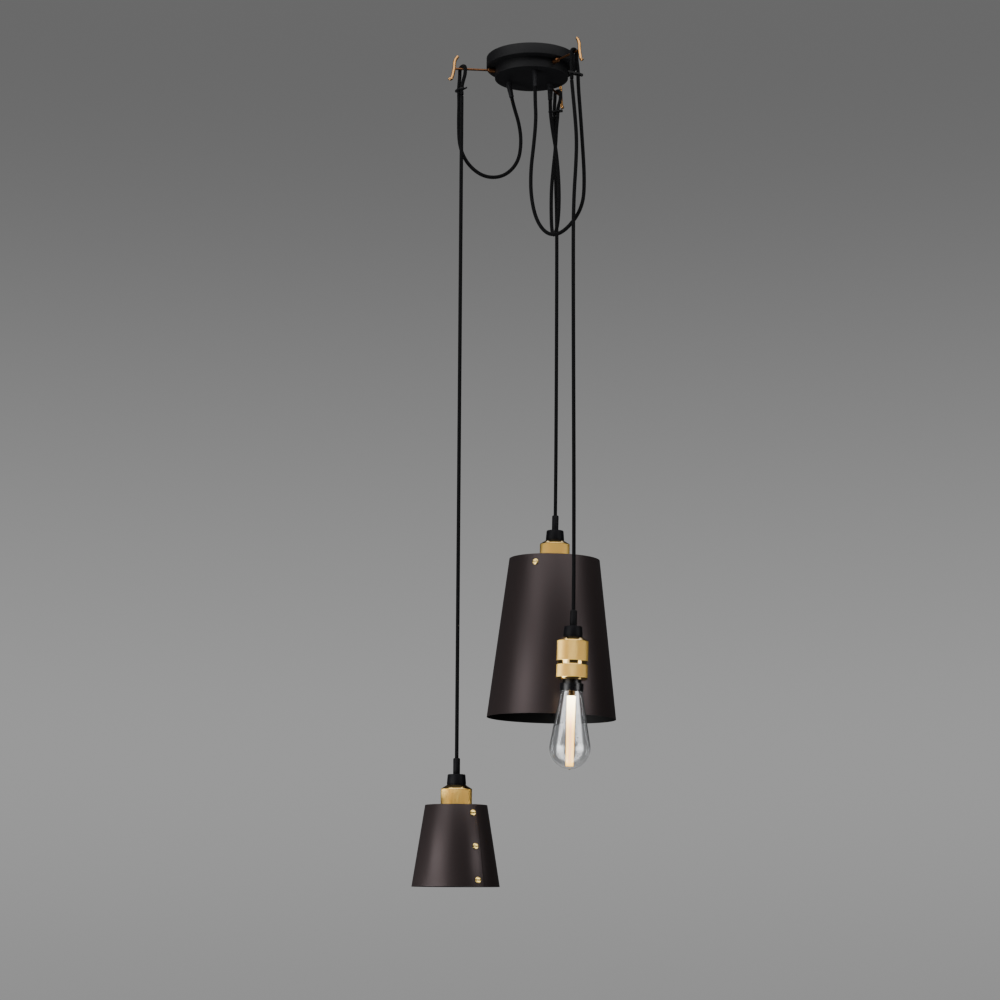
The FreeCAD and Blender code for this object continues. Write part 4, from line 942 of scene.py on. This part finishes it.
class PENDANT_OT_rose(bpy.types.Operator):
    """Adds the two discs of the rose, its glands, arms and collars, and finishes what is inside it"""

    bl_idname = "pendant.rose"
    bl_label = "Ceiling rose"

    def execute(self, context):
        rose = settings().rose
        # Powder coat: matt black, so the discs show as soft dark tones with a faint line of light along their edges
        coat = powder_coat("rose_powder_coat", rose.coat_colour)
        self.disc("upper", rose.upper_radius, rose.upper_opening, 0, coat)
        self.disc("lower", rose.lower_radius, 0, -rose.disc_height, coat)
        self.glands()
        self.hooks()
        # Zinc plate is a pale cool grey, polyamide an off-white without shine, and blackened screws have a dark gleam
        finish_node("ceiling_bracket", pressed_steel("zinc_plated_steel", linear("#b4b6b8"), 0.35, 1.5 * MM))
        finish_node("terminal_block", moulded_black("terminal_polyamide", linear("#d8d6cc"), 0.5))
        finish_node("rose_screws", pressed_steel("blackened_steel", linear("#1d1d1f"), 0.4, 1 * MM))
        return {"FINISHED"}

    def disc(self, name, radius, opening, top, coat):
        """One disc of the rose: a pressed pan, open at its top."""
        rose = settings().rose
        wall, floor = rose.wall, top - rose.disc_height
        pan = turned("rose_%s_shell" % name, [
            (opening, floor), (radius, floor), (radius, top), (radius - wall, top), (radius - wall, floor + wall),
            (opening, floor + wall)], 160)
        dress(smooth(soften(pan, rose.disc_edge, 4)), coat, "rose", ("rose_%s_disc" % name,))

    def glands(self):
        """Each gland: a socket through the rose's floor with its nut, and a ribbed nose that leans with its cord."""
        gland = settings().gland
        # Moulded nylon: black, with a dull gleam on the ribs
        nylon = moulded_black("gland_nylon", linear("#1a1a1c"), 0.5)
        foot, floor, top = -gland.socket_height, gland.throat_height, gland.throat_height + gland.nut_height
        socket = soften(turned("gland_socket", [
            (0, foot), (gland.socket_radius, foot), (gland.socket_radius, 0), (gland.throat_radius, 0),
            (gland.throat_radius, floor), (gland.nut_radius, floor), (gland.nut_radius, top), (0, top)], 40),
            gland.socket_edge, 2)
        length = GLAND_NOSE * MM
        corners = [(radius * MM, height * MM) for radius, height in GLAND_BALL] + [(gland.socket_radius, 0)]
        for count in range(GLAND_RIBS):
            depth = gland.rib_start + count * gland.rib_pitch
            radius = gland.socket_radius - (gland.socket_radius - gland.tip_radius) * depth / length
            corners += stepped(radius, -depth, RIB_GROOVE)
        corners += [(gland.tip_radius, -length), (0, -length)]
        nose = soften(turned("gland_nose", corners, 40), gland.rib_edge, 2, 40)
        glands = []
        for side, root, tip in zip(SIDES, duplicates(socket, len(SIDES)), duplicates(nose, len(SIDES))):
            angle, lean = (math.radians(value) for value in GLANDS[side])
            put(tip, Matrix.Translation((0, 0, foot)) @ Matrix.Rotation(-lean, 4, "Y"))
            spot = Vector((math.cos(angle) * GLAND_CIRCLE, math.sin(angle) * GLAND_CIRCLE, -GLAND_ROOT)) * MM
            place = Matrix.Translation(spot - Vector((0, 0, foot)))
            glands.append(put(joined("gland", [root, tip]), place))
        dress(smooth(joined("cord_gland_set", glands), 35), nylon, "rose", ("cord_glands",))

    def hooks(self):
        """Each brass arm with its bent crossbar, and its collar outside and nut inside the lower disc."""
        rose = settings().rose
        # Brass of the crossbars: golden, with a satin highlight along the bar
        bar_brass = turned_brass("satin_bar_brass", rose.bar_colour, 0.3, 2 * MM)
        # Brass of the arms and collars: darker, duller and more coppery than the bars
        arm_brass = turned_brass("darker_arm_brass", rose.arm_colour, 0.34, 2 * MM)
        lay = Matrix.Rotation(math.pi / 2, 4, "Y")
        inner = rose.lower_radius - rose.wall - rose.arm_inside
        arm = put(turned("arm", [(0, inner), (rose.arm_radius, inner), (rose.arm_radius, rose.arm_reach),
                                 (0, rose.arm_reach)], 32), lay)
        arm.data.materials.append(arm_brass)
        bar = self.bent_bar()
        bar.data.materials.clear()
        bar.data.materials.append(bar_brass)
        hooks = duplicates(joined("hook", [arm, bar]), len(SIDES))
        bore, outer, start = rose.arm_radius + rose.arm_gap, rose.collar_radius, rose.lower_radius
        end = start + rose.collar_length
        collar = turned("collar", [(bore, start)] + stepped(outer, start, COLLAR_BACK)
                        + stepped(outer, end, COLLAR_FRONT) + [(bore, end)], 40)
        nut_end = start - rose.wall - rose.nut_gap
        nut_start = nut_end - rose.nut_height
        nut = turned("nut", [(bore, nut_start), (rose.nut_radius, nut_start), (rose.nut_radius, nut_end),
                             (bore, nut_end)], 6)
        pairs = duplicates(put(joined("collar_pair", [collar, nut]), lay), len(SIDES))
        for side, hook, pair in zip(SIDES, hooks, pairs):
            turn = Matrix.Rotation(math.radians(ARM_ANGLES[side]), 4, "Z")
            turn @= Matrix.Translation((0, 0, -rose.arm_height))
            hook.name = hook.data.name = "brass_hook_" + side
            ride_as(smooth(put(hook, turn), 40), "rose", ("hook_" + side,))
            put(pair, turn)
        dress(smooth(joined("arm_collars", pairs), 35), arm_brass, "rose", ("hook_fixings",))

    def bent_bar(self):
        """The crossbar: a tube through its bends, made a mesh and rounded at both ends."""
        rose = settings().rose
        bar, _ = nurbs_tube("crossbar", [(rose.arm_reach + out * MM, 0, up * MM) for out, up in BAR_BENDS],
                            rose.bar_radius, 6)
        pick(bar)
        bpy.ops.object.convert(target="MESH")
        return soften(bpy.context.object, rose.bar_edge, 3, 50)


# Lampholders


def heights():
    """Heights down a pendant, measured from the sleeve's top."""
    holder, bulb = settings().holder, settings().bulb
    spots = {"grip": -holder.sleeve_length}
    spots["shoulder"] = spots["grip"] - holder.grip_height
    spots["barrel"] = spots["shoulder"] - holder.shoulder_height
    spots["neck"] = spots["barrel"] - holder.barrel_height
    spots["neck_end"] = spots["neck"] - holder.neck_height
    spots["cap"] = spots["neck"] - bulb.cap_entry
    spots["skirt"] = spots["cap"] - bulb.cap_length
    spots["flange"] = spots["skirt"] - bulb.skirt_height
    spots["glass"] = spots["flange"] - bulb.flange_height
    spots["recess"] = spots["glass"] + bulb.recess_depth
    return spots


def knurl_columns():
    """Points round a knurled band, two for each diamond."""
    holder = settings().holder
    return 2 * round(math.pi * holder.barrel_radius / holder.knurl_pitch)


def knurl_rows(top, bottom):
    """Corners of a knurled band, one ring for each half diamond."""
    holder = settings().holder
    rows = round((top - bottom) / holder.knurl_pitch)
    return [(holder.barrel_radius, top + (bottom - top) * row / rows) for row in range(rows + 1)]


def knurl(piece, top, bottom, brass, polish):
    """Pulls every second point of a band inwards, so that its squares become diamonds, and finishes the piece.

    The knurling is satin and every other face is polished.
    """
    holder = settings().holder
    rows = round((top - bottom) / holder.knurl_pitch)
    columns = knurl_columns()
    mesh = edit(piece)
    bpy.ops.mesh.select_all(action="DESELECT")
    for vertex in mesh.verts:
        radius = math.hypot(vertex.co.x, vertex.co.y)
        row = round((top - vertex.co.z) / (top - bottom) * rows)
        column = round(math.atan2(vertex.co.y, vertex.co.x) / (2 * math.pi) * columns)
        on_band = abs(radius - holder.barrel_radius) < NEARLY and 0 < row < rows
        vertex.select = on_band and (row + column) % 2 == 0
    mesh.select_flush_mode()
    bmesh.update_edit_mesh(piece.data)
    share = 1 - holder.knurl_depth / holder.barrel_radius
    bpy.ops.transform.resize(value=(share, share, 1), center_override=(0, 0, 0))
    bpy.ops.mesh.select_all(action="SELECT")
    bpy.ops.mesh.quads_convert_to_tris(quad_method="SHORTEST_DIAGONAL")
    bpy.ops.object.mode_set(mode="OBJECT")
    piece.data.materials.clear()
    piece.data.materials.append(brass)
    piece.data.materials.append(polish)
    inside = (holder.neck_radius + holder.barrel_radius) / 2
    for face in piece.data.polygons:
        outside = math.hypot(face.center.x, face.center.y) > inside
        face.material_index = 0 if outside and bottom < face.center.z < top else 1
    return smooth(piece, 14)


class PENDANT_OT_holders(bpy.types.Operator):
    """Adds each lampholder: sleeve, grip cup, knurled barrel and knurled ring"""

    bl_idname = "pendant.holders"
    bl_label = "Lampholders"

    def execute(self, context):
        holder = settings().holder
        # Elastomer sleeve and nylon cup: both near black, the cup with a slightly tighter highlight
        sleeve_black = moulded_black("sleeve_elastomer", linear("#0b0b0d"), 0.6)
        grip_black = moulded_black("grip_nylon", linear("#0a0a0d"), 0.5)
        # Knurling scatters the light, so it reads as an even satin gold
        brass = turned_brass("knurled_brass", holder.brass, 0.45, 1.2 * MM)
        # Turned and buffed: mirrors the softboxes as sharp cream spots between dark
        polish = turned_brass("polished_brass", holder.polished, 0.12, 1 * MM, (0.1, 0.1, 1))
        # Inside: dull brown phenolic and springy bright brass
        core = moulded_black("phenolic_core", linear("#2a2522"), 0.5)
        spring_brass = turned_brass("contact_brass", linear("#c9a45a"), 0.25, 2 * MM, (0.1, 0.1, 1))
        for side, piece in on_each_side("cord_sleeve_moulding_", self.sleeve()):
            dress(piece, sleeve_black, side + "_lamp", ("cord_sleeve_" + side,))
        for side, piece in on_each_side("cord_grip_cup_", self.grip()):
            dress(piece, grip_black, side + "_lamp", ("cord_grip_" + side,))
        for side, piece in on_each_side("knurled_barrel_", self.barrel(brass, polish)):
            ride_as(piece, side + "_lamp", ("holder_barrel_" + side,))
        lowered = {"right": holder.ring_drop - settings().shade.plate_thickness}
        for side, piece in on_each_side("knurled_ring_", self.ring(brass, polish), SIDES, lowered):
            ride_as(piece, side + "_ring", ("shade_ring_" + side,))
        for side in SIDES:
            finish_node("holder_core_" + side, core)
            finish_node("screw_shell_" + side, spring_brass)
            finish_node("centre_contact_" + side, spring_brass)
        return {"FINISHED"}

    def sleeve(self):
        """The sleeve round the cord, rounded at its top."""
        holder, at = settings().holder, heights()
        corners = [(holder.cord_bore, 0)] + stepped(holder.sleeve_radius, 0, SLEEVE_TOP)
        corners += [(holder.sleeve_radius, at["grip"]), (holder.cord_bore, at["grip"])]
        return smooth(soften(turned("sleeve", corners, 48), holder.sleeve_edge, 2))

    def grip(self):
        """The cup that grips the cord, with a groove near its foot and the nipple that screws into the barrel."""
        holder, at = settings().holder, heights()
        top, end = at["grip"], at["shoulder"]
        tip, floor = end - holder.nipple_length, end + holder.cord_floor
        corners = [(holder.cord_bore, top), (holder.grip_top_radius - holder.grip_chamfer, top),
                   (holder.grip_top_radius, top - holder.grip_chamfer)]
        corners += stepped(holder.grip_bottom_radius, end + holder.grip_groove, CUP_GROOVE)
        corners += [(holder.grip_bottom_radius, end), (holder.nipple_radius, end), (holder.nipple_radius, tip),
                    (0, tip), (0, floor), (holder.cord_bore, floor)]
        return smooth(soften(turned("cup", corners, 64), holder.grip_edge, 2))

    def barrel(self, brass, polish):
        """The knurled barrel, with its polished shoulder above and its neck below."""
        holder, at = settings().holder, heights()
        bore = holder.nipple_radius + holder.ring_gap
        ceiling = at["barrel"] - holder.barrel_wall
        top = at["barrel"] - holder.knurl_margin
        bottom = at["neck"] + holder.knurl_margin
        corners = [(bore, at["shoulder"]), (holder.shoulder_radius, at["shoulder"])]
        corners += stepped(holder.edge_radius, at["barrel"], BARREL_EDGE) + knurl_rows(top, bottom)
        corners += [(holder.barrel_radius - holder.knurl_chamfer, at["neck"]), (holder.neck_radius, at["neck"]),
                    (holder.neck_radius, at["neck_end"]), (holder.core_radius, at["neck_end"]),
                    (holder.core_radius, ceiling), (bore, ceiling)]
        return knurl(turned("barrel", corners, knurl_columns()), top, bottom, brass, polish)

    def ring(self, brass, polish):
        """The knurled ring, as high up the neck as a shade's plate lets it screw."""
        holder, at = settings().holder, heights()
        high = at["neck"] - settings().shade.plate_thickness
        lip = high - holder.ring_height
        end = lip - holder.ring_lip
        bore = holder.neck_radius + holder.ring_gap
        rim = holder.barrel_radius - holder.knurl_chamfer
        top, bottom = high - holder.knurl_margin, lip + holder.knurl_margin
        corners = [(bore, high), (rim, high)] + knurl_rows(top, bottom)
        corners += [(rim, lip), (holder.barrel_radius - holder.ring_lip, end), (holder.ring_hole_radius, end),
                    (holder.ring_hole_radius, lip), (bore, lip)]
        return knurl(turned("ring", corners, knurl_columns()), top, bottom, brass, polish)


# Bulbs


def glass_profile(ball, drop, inset):
    """Corners down the outside or the inside of a glass: neck, cone and the ball that it runs into."""
    bulb, at = settings().bulb, heights()
    neck = bulb.glass_radius - inset
    radius = ball - inset
    centre = at["glass"] - drop
    touch = math.atan2(drop, neck) - math.acos(radius / math.hypot(neck, drop))
    steps = 26
    corners = [(neck, at["recess"]), (neck, at["glass"])]
    for step in range(steps + 1):
        angle = touch + (-math.pi / 2 - touch) * step / steps
        corners.append((radius * math.cos(angle), centre + radius * math.sin(angle)))
    return corners


class PENDANT_OT_bulbs(bpy.types.Operator):
    """Adds each bulb: cap, collar, glass, light base and light pipe"""

    bl_idname = "pendant.bulbs"
    bl_label = "Bulbs"

    def execute(self, context):
        bulb = settings().bulb
        # Nickel plate: a bright cool metal
        nickel = pressed_steel("nickel_cap", linear("#c4c5c7"), 0.25, 2 * MM)
        # Buffed phenolic: black with narrow highlights down each side
        gloss = polished_phenolic("gloss_phenolic", linear("#08080a"))
        # Brass darkened with age: brown, with gold only along its grooves
        dark_brass = turned_brass("aged_brass", linear("#5e4526"), 0.35, 1.5 * MM)
        # Blown glass seldom lies quite flat, so a slow ripple moves its reflections. It is clear and colourless
        glass = clear_solid("bulb_glass", "#fbfcfd", 0.0, 1.5, 14 * MM)
        # Cast acrylic, flame-polished: faintly warm and drawn lengthwise, so that what glows inside fills it
        acrylic = clear_solid("rod_acrylic", "#fffdf6", 0.05, 1.49, 2 * MM, (1, 1, 0.1))
        # The one bright spot of the picture: cream light with pinkish streaks, which draws the eye to the bare bulb
        glow = glowing_core("carried_light")
        for side in SIDES:
            finish_node("bulb_cap_" + side, nickel)
        for side, piece in on_each_side("bulb_collar_moulding_", self.collar()):
            dress(piece, gloss, side + "_bulb", ("bulb_collar_" + side,))
        for side, piece in on_each_side("light_pipe_base_", self.base()):
            # Inside a shade the base and its pipe are one node, which the pipe replaces
            own_node = () if side in SHADED else ("bulb_light_base_" + side,)
            dress(piece, dark_brass, side + "_bulb", own_node)
        for sides, (ball, drop) in BALLS.items():
            for side, piece in on_each_side("blown_glass_", self.glass(ball * MM, drop * MM), sides):
                dress(piece, glass, side + "_bulb", ("bulb_glass_" + side,))
            end = heights()["glass"] - (drop + ball) * MM + bulb.pipe_gap
            for side, piece in on_each_side("light_pipe_rod_", self.rod(end, acrylic), sides):
                if side not in SHADED:
                    core = self.core(end + bulb.core_end_gap, glow)
                    joined(piece.name, [piece, put(core, pendant_place(side))])
                ride_as(piece, side + "_bulb", ("bulb_light_pipe_" + side,))
        return {"FINISHED"}

    def collar(self):
        """The collar in two steps, with its spigot in the cap and a recess for the glass."""
        bulb, at = settings().bulb, heights()
        recess = bulb.glass_radius + bulb.glass_gap
        spigot = at["skirt"] + bulb.spigot_height
        corners = [(0, spigot), (bulb.spigot_radius, spigot), (bulb.spigot_radius, at["skirt"]),
                   (bulb.skirt_radius, at["skirt"]), (bulb.skirt_radius, at["flange"]),
                   (bulb.flange_radius, at["flange"]), (bulb.flange_radius, at["glass"]), (recess, at["glass"]),
                   (recess, at["recess"]), (0, at["recess"])]
        return smooth(soften(turned("collar", corners, 80), bulb.collar_edge, 4))

    def glass(self, ball, drop):
        """The blown glass: its inside, its outside and the sealed tip under it."""
        bulb = settings().bulb
        outer = glass_profile(ball, drop, 0)
        inner = glass_profile(ball, drop, bulb.glass_wall)
        bottom = outer[-1][1]
        outer = [corner for corner in outer if corner[0] > PIP[0][0] * MM]
        outer += [(radius * MM, bottom - depth * MM) for radius, depth in PIP]
        return smooth(turned("glass", inner[::-1] + outer, 96), 60)

    def base(self):
        """The grooved base that holds the light pipe in the collar."""
        bulb, at = settings().bulb, heights()
        end = at["glass"] - bulb.base_drop
        corners = [(0, at["recess"]), (bulb.base_radius, at["recess"])]
        for count in range(BASE_GROOVES):
            level = at["glass"] - bulb.groove_start - count * bulb.groove_pitch
            corners += stepped(bulb.base_radius, level, BASE_GROOVE)
        corners += [(bulb.base_radius, end), (0, end)]
        return smooth(soften(turned("base", corners, 64), bulb.base_edge, 2))

    def rod(self, end, acrylic):
        """The tapered light pipe under its base."""
        bulb = settings().bulb
        start = heights()["glass"] - bulb.base_drop
        corners = [(0, start), (bulb.pipe_radius, start), (bulb.pipe_end_radius, end), (0, end)]
        rod = smooth(soften(turned("rod", corners, 64), bulb.pipe_edge, 3))
        rod.data.materials.append(acrylic)
        return rod

    def core(self, bottom, glow):
        """The glowing core of the lit rod, with how far down and how far into a streak each point lies."""
        bulb = settings().bulb
        top = heights()["glass"] - bulb.base_drop - bulb.core_gap
        steps, streaks = 24, 3
        first, last = bulb.pipe_radius * bulb.core_share, bulb.pipe_end_radius * bulb.core_share
        corners = [(0, top)]
        for step in range(steps + 1):
            share = step / steps
            corners.append((first + (last - first) * share, top + (bottom - top) * share))
        core = smooth(turned("glowing_core", corners + [(0, bottom)], 48), 60)
        down = core.data.attributes.new("down", "FLOAT", "POINT")
        around = core.data.attributes.new("around", "FLOAT", "POINT")
        for index, vertex in enumerate(core.data.vertices):
            down.data[index].value = (top - vertex.co.z) / (top - bottom)
            turn = math.atan2(vertex.co.y, vertex.co.x) + math.pi / 2
            around.data[index].value = max(0.0, math.cos(streaks * turn)) ** 2
        core.data.materials.append(glow)
        return core


# Shades


def lift(spec, angle):
    """How far the winding sheet has risen at an angle from its start, as a share of its own thickness."""
    share = min(1, max(0, (math.degrees(angle) - spec["lift_from"]) / (LAP_START - spec["lift_from"])))
    return LAP_CLEARANCE * share * share * (3 - 2 * share)


class PENDANT_OT_shades(bpy.types.Operator):
    """Adds each shade: lapped cone, dished top plate and slotted screws"""

    bl_idname = "pendant.shades"
    bl_label = "Shades"

    def execute(self, context):
        shade = settings().shade
        # Satin lacquer: dark brown-black with a broad soft highlight down each side of the cone
        outside = satin_lacquer("satin_shade_lacquer", shade.outer_colour)
        # Powder coat inside: matt, so that the rim's far wall stays plain black
        inside = powder_coat("black_shade_lining", shade.inner_colour)
        # Polished screw brass: small pale yellow discs that stand out from the dark sheet
        brass = turned_brass("screw_brass", shade.screw_colour, 0.32, 1 * MM)
        # The slots are painted dark brown-black, a painted shade down in each slot, so they read as dark lines
        slot_shade = turned_brass("slot_painted_shade", linear("#1c1610"), 0.5, 1 * MM)
        for side in SHADED:
            spec = SHADES[side]
            place = pendant_place(side)
            rim = heights()["neck"] + spec["rise"] * MM
            self.cone(side, spec, rim, place, outside, inside)
            finish_node(spec["name"] + "_shade_plate", inside)
            self.screws(side, spec, rim, place, (brass, inside, slot_shade))
        return {"FINISHED"}

    def cone(self, side, spec, rim, place, outside, inside):
        """One sheet wound once round and on past its own start, which lifts it by its own thickness."""
        shade = settings().shade
        nothing_selected()
        bpy.ops.mesh.primitive_plane_add(size=1)
        sheet = bpy.context.object
        sheet.name = spec["name"] + "_shade_cone"
        mesh = edit(sheet)
        top, bottom = spec["top"] * MM, spec["bottom"] * MM
        foot = rim - spec["height"] * MM
        corners = ((top - shade.wall, rim), (top, rim), (bottom, foot), (bottom - shade.wall, foot))
        mesh.clear()
        mesh.faces.new([mesh.verts.new((radius, 0, height)) for radius, height in corners])
        bmesh.update_edit_mesh(sheet.data)
        bpy.ops.mesh.select_all(action="SELECT")
        turn = math.radians(360 + spec["lap_width"])
        steps = 190
        bpy.ops.mesh.spin(steps=steps, angle=turn, center=(0, 0, 0), axis=(0, 0, -1))
        bpy.ops.object.mode_set(mode="OBJECT")
        self.lift_lap(sheet, spec, steps, turn)
        edit(sheet)
        finish_edit()
        smooth(soften(sheet, shade.sheet_edge, 2, 60))
        sheet.data.materials.append(outside)
        sheet.data.materials.append(inside)
        for face in sheet.data.polygons:
            radial = Vector((face.center.x, face.center.y, 0)).normalized()
            # The lining covers what faces the axis, and the lacquer covers the rims too
            face.material_index = 1 if face.normal.dot(radial) < -0.5 else 0
        start = math.radians(spec["lap"] + spec["lap_width"] / 2) - turn
        put(sheet, place @ Matrix.Rotation(start, 4, "Z"))
        ride_as(sheet, side + "_shade", (spec["name"] + "_shade",))

    def lift_lap(self, sheet, spec, steps, turn):
        """Moves each later step of the winding outwards, up to one thickness where it laps the start."""
        per_step = len(sheet.data.vertices) // (steps + 1)
        for index, vertex in enumerate(sheet.data.vertices):
            rise = settings().shade.wall * lift(spec, index // per_step * turn / steps)
            radius = math.hypot(vertex.co.x, vertex.co.y)
            vertex.co.x *= (radius + rise) / radius
            vertex.co.y *= (radius + rise) / radius

    def screws(self, side, spec, rim, place, coats):
        """Screws along the lap and through the plate, each square on the sheet."""
        shade = settings().shade
        slope = (spec["bottom"] - spec["top"]) / spec["height"]
        plate = shade.plate_thickness + shade.plate_gap
        # Screws through the same layers are alike: what each kind lies on and goes through, and where it stands
        kinds = {}
        for drop in spec["lap_drops"]:
            under = plate if drop == spec["plate_drop"] else 0
            kinds.setdefault((shade.wall, under), []).append((spec["lap"], drop))
        kinds[0, plate] = [(azimuth, spec["plate_drop"]) for azimuth in spec["plate"]]
        square = Matrix.Rotation(math.pi / 2 - math.atan(slope), 4, "Y")
        screws = []
        for (lap, under), spots in kinds.items():
            screw = self.screw(shade.wall + lap + under + shade.foot_gap, coats)
            for copy, (azimuth, drop) in zip(duplicates(screw, len(spots)), spots):
                radius = (spec["top"] + slope * drop) * MM + lap
                stand = Matrix.Translation((radius, 0, rim - drop * MM)) @ square
                screws.append(put(copy, place @ Matrix.Rotation(math.radians(azimuth), 4, "Z") @ stand))
        piece = smooth(joined(spec["name"] + "_slotted_screws", screws))
        ride_as(piece, side + "_shade", (spec["name"] + "_shade_screws",))

    def screw(self, grip, coats):
        """A low head whose slot is painted dark as shade, on a shank that ends in a flat foot, which wears the
        lining's coat.
        """
        shade = settings().shade
        foot_end = -grip - shade.foot_height
        corners = [(0, shade.head_height), (shade.head_flat, shade.head_height),
                   ((shade.head_flat + shade.head_radius) / 2, shade.head_height - shade.head_crown),
                   (shade.head_radius, shade.head_edge), (shade.head_radius, shade.plate_gap),
                   (shade.shank_radius, shade.plate_gap), (shade.shank_radius, -grip), (shade.foot_radius, -grip),
                   (shade.foot_radius, foot_end), (0, foot_end)]
        head = turned("screw", corners, 40)
        nothing_selected()
        bpy.ops.mesh.primitive_cube_add(size=1, location=(0, 0, shade.head_height))
        slot = bpy.context.object
        # The cutter's upper half clears the head, and its ends stand out past the rim
        slot.scale = (shade.slot_width, 3 * shade.head_radius, 2 * shade.slot_depth)
        bpy.ops.object.transform_apply(location=True, rotation=True, scale=True)
        screw = soften(cut_away(head, slot), shade.screw_edge, 2, 30)
        screw.data.materials.clear()
        for coat in coats:
            screw.data.materials.append(coat)
        for face in screw.data.polygons:
            depth = shade.head_height - face.center.z
            in_slot = (abs(face.center.x) < shade.slot_width / 2 + SLOT_EDGE
                       and SLOT_EDGE < depth < shade.slot_depth + SLOT_EDGE)
            # Faces down in the slot take the slot's painted shade
            face.material_index = 1 if face.center.z < -shade.wall else 2 * in_slot
        return screw


# Panel and registration


class PENDANT_PT_panel(bpy.types.Panel):
    """Lists the operators that make the light"""

    bl_label = "Pendant light"
    bl_idname = "PENDANT_PT_panel"
    bl_space_type = "VIEW_3D"
    bl_region_type = "UI"
    bl_category = "Pendant"

    def draw(self, context):
        for operator in OPERATORS:
            self.layout.operator(operator.bl_idname)


OPERATORS = (PENDANT_OT_stage, PENDANT_OT_cords, PENDANT_OT_ties, PENDANT_OT_rose, PENDANT_OT_holders,
             PENDANT_OT_bulbs, PENDANT_OT_shades)
GROUPS = (StudioSettings, CordSettings, HolderSettings, BulbSettings, ShadeSettings, RoseSettings, GlandSettings,
          PendantSettings)
CLASSES = GROUPS + OPERATORS + (PENDANT_PT_panel,)


def register():
    for made in CLASSES:
        bpy.utils.register_class(made)
    bpy.types.Scene.pendant_light = PointerProperty(type=PendantSettings)


def unregister():
    del bpy.types.Scene.pendant_light
    for made in reversed(CLASSES):
        bpy.utils.unregister_class(made)


def main():
    register()
    for operator in OPERATORS:
        group, name = operator.bl_idname.split(".")
        getattr(getattr(bpy.ops, group), name)()


if __name__ == "__main__":
    main()
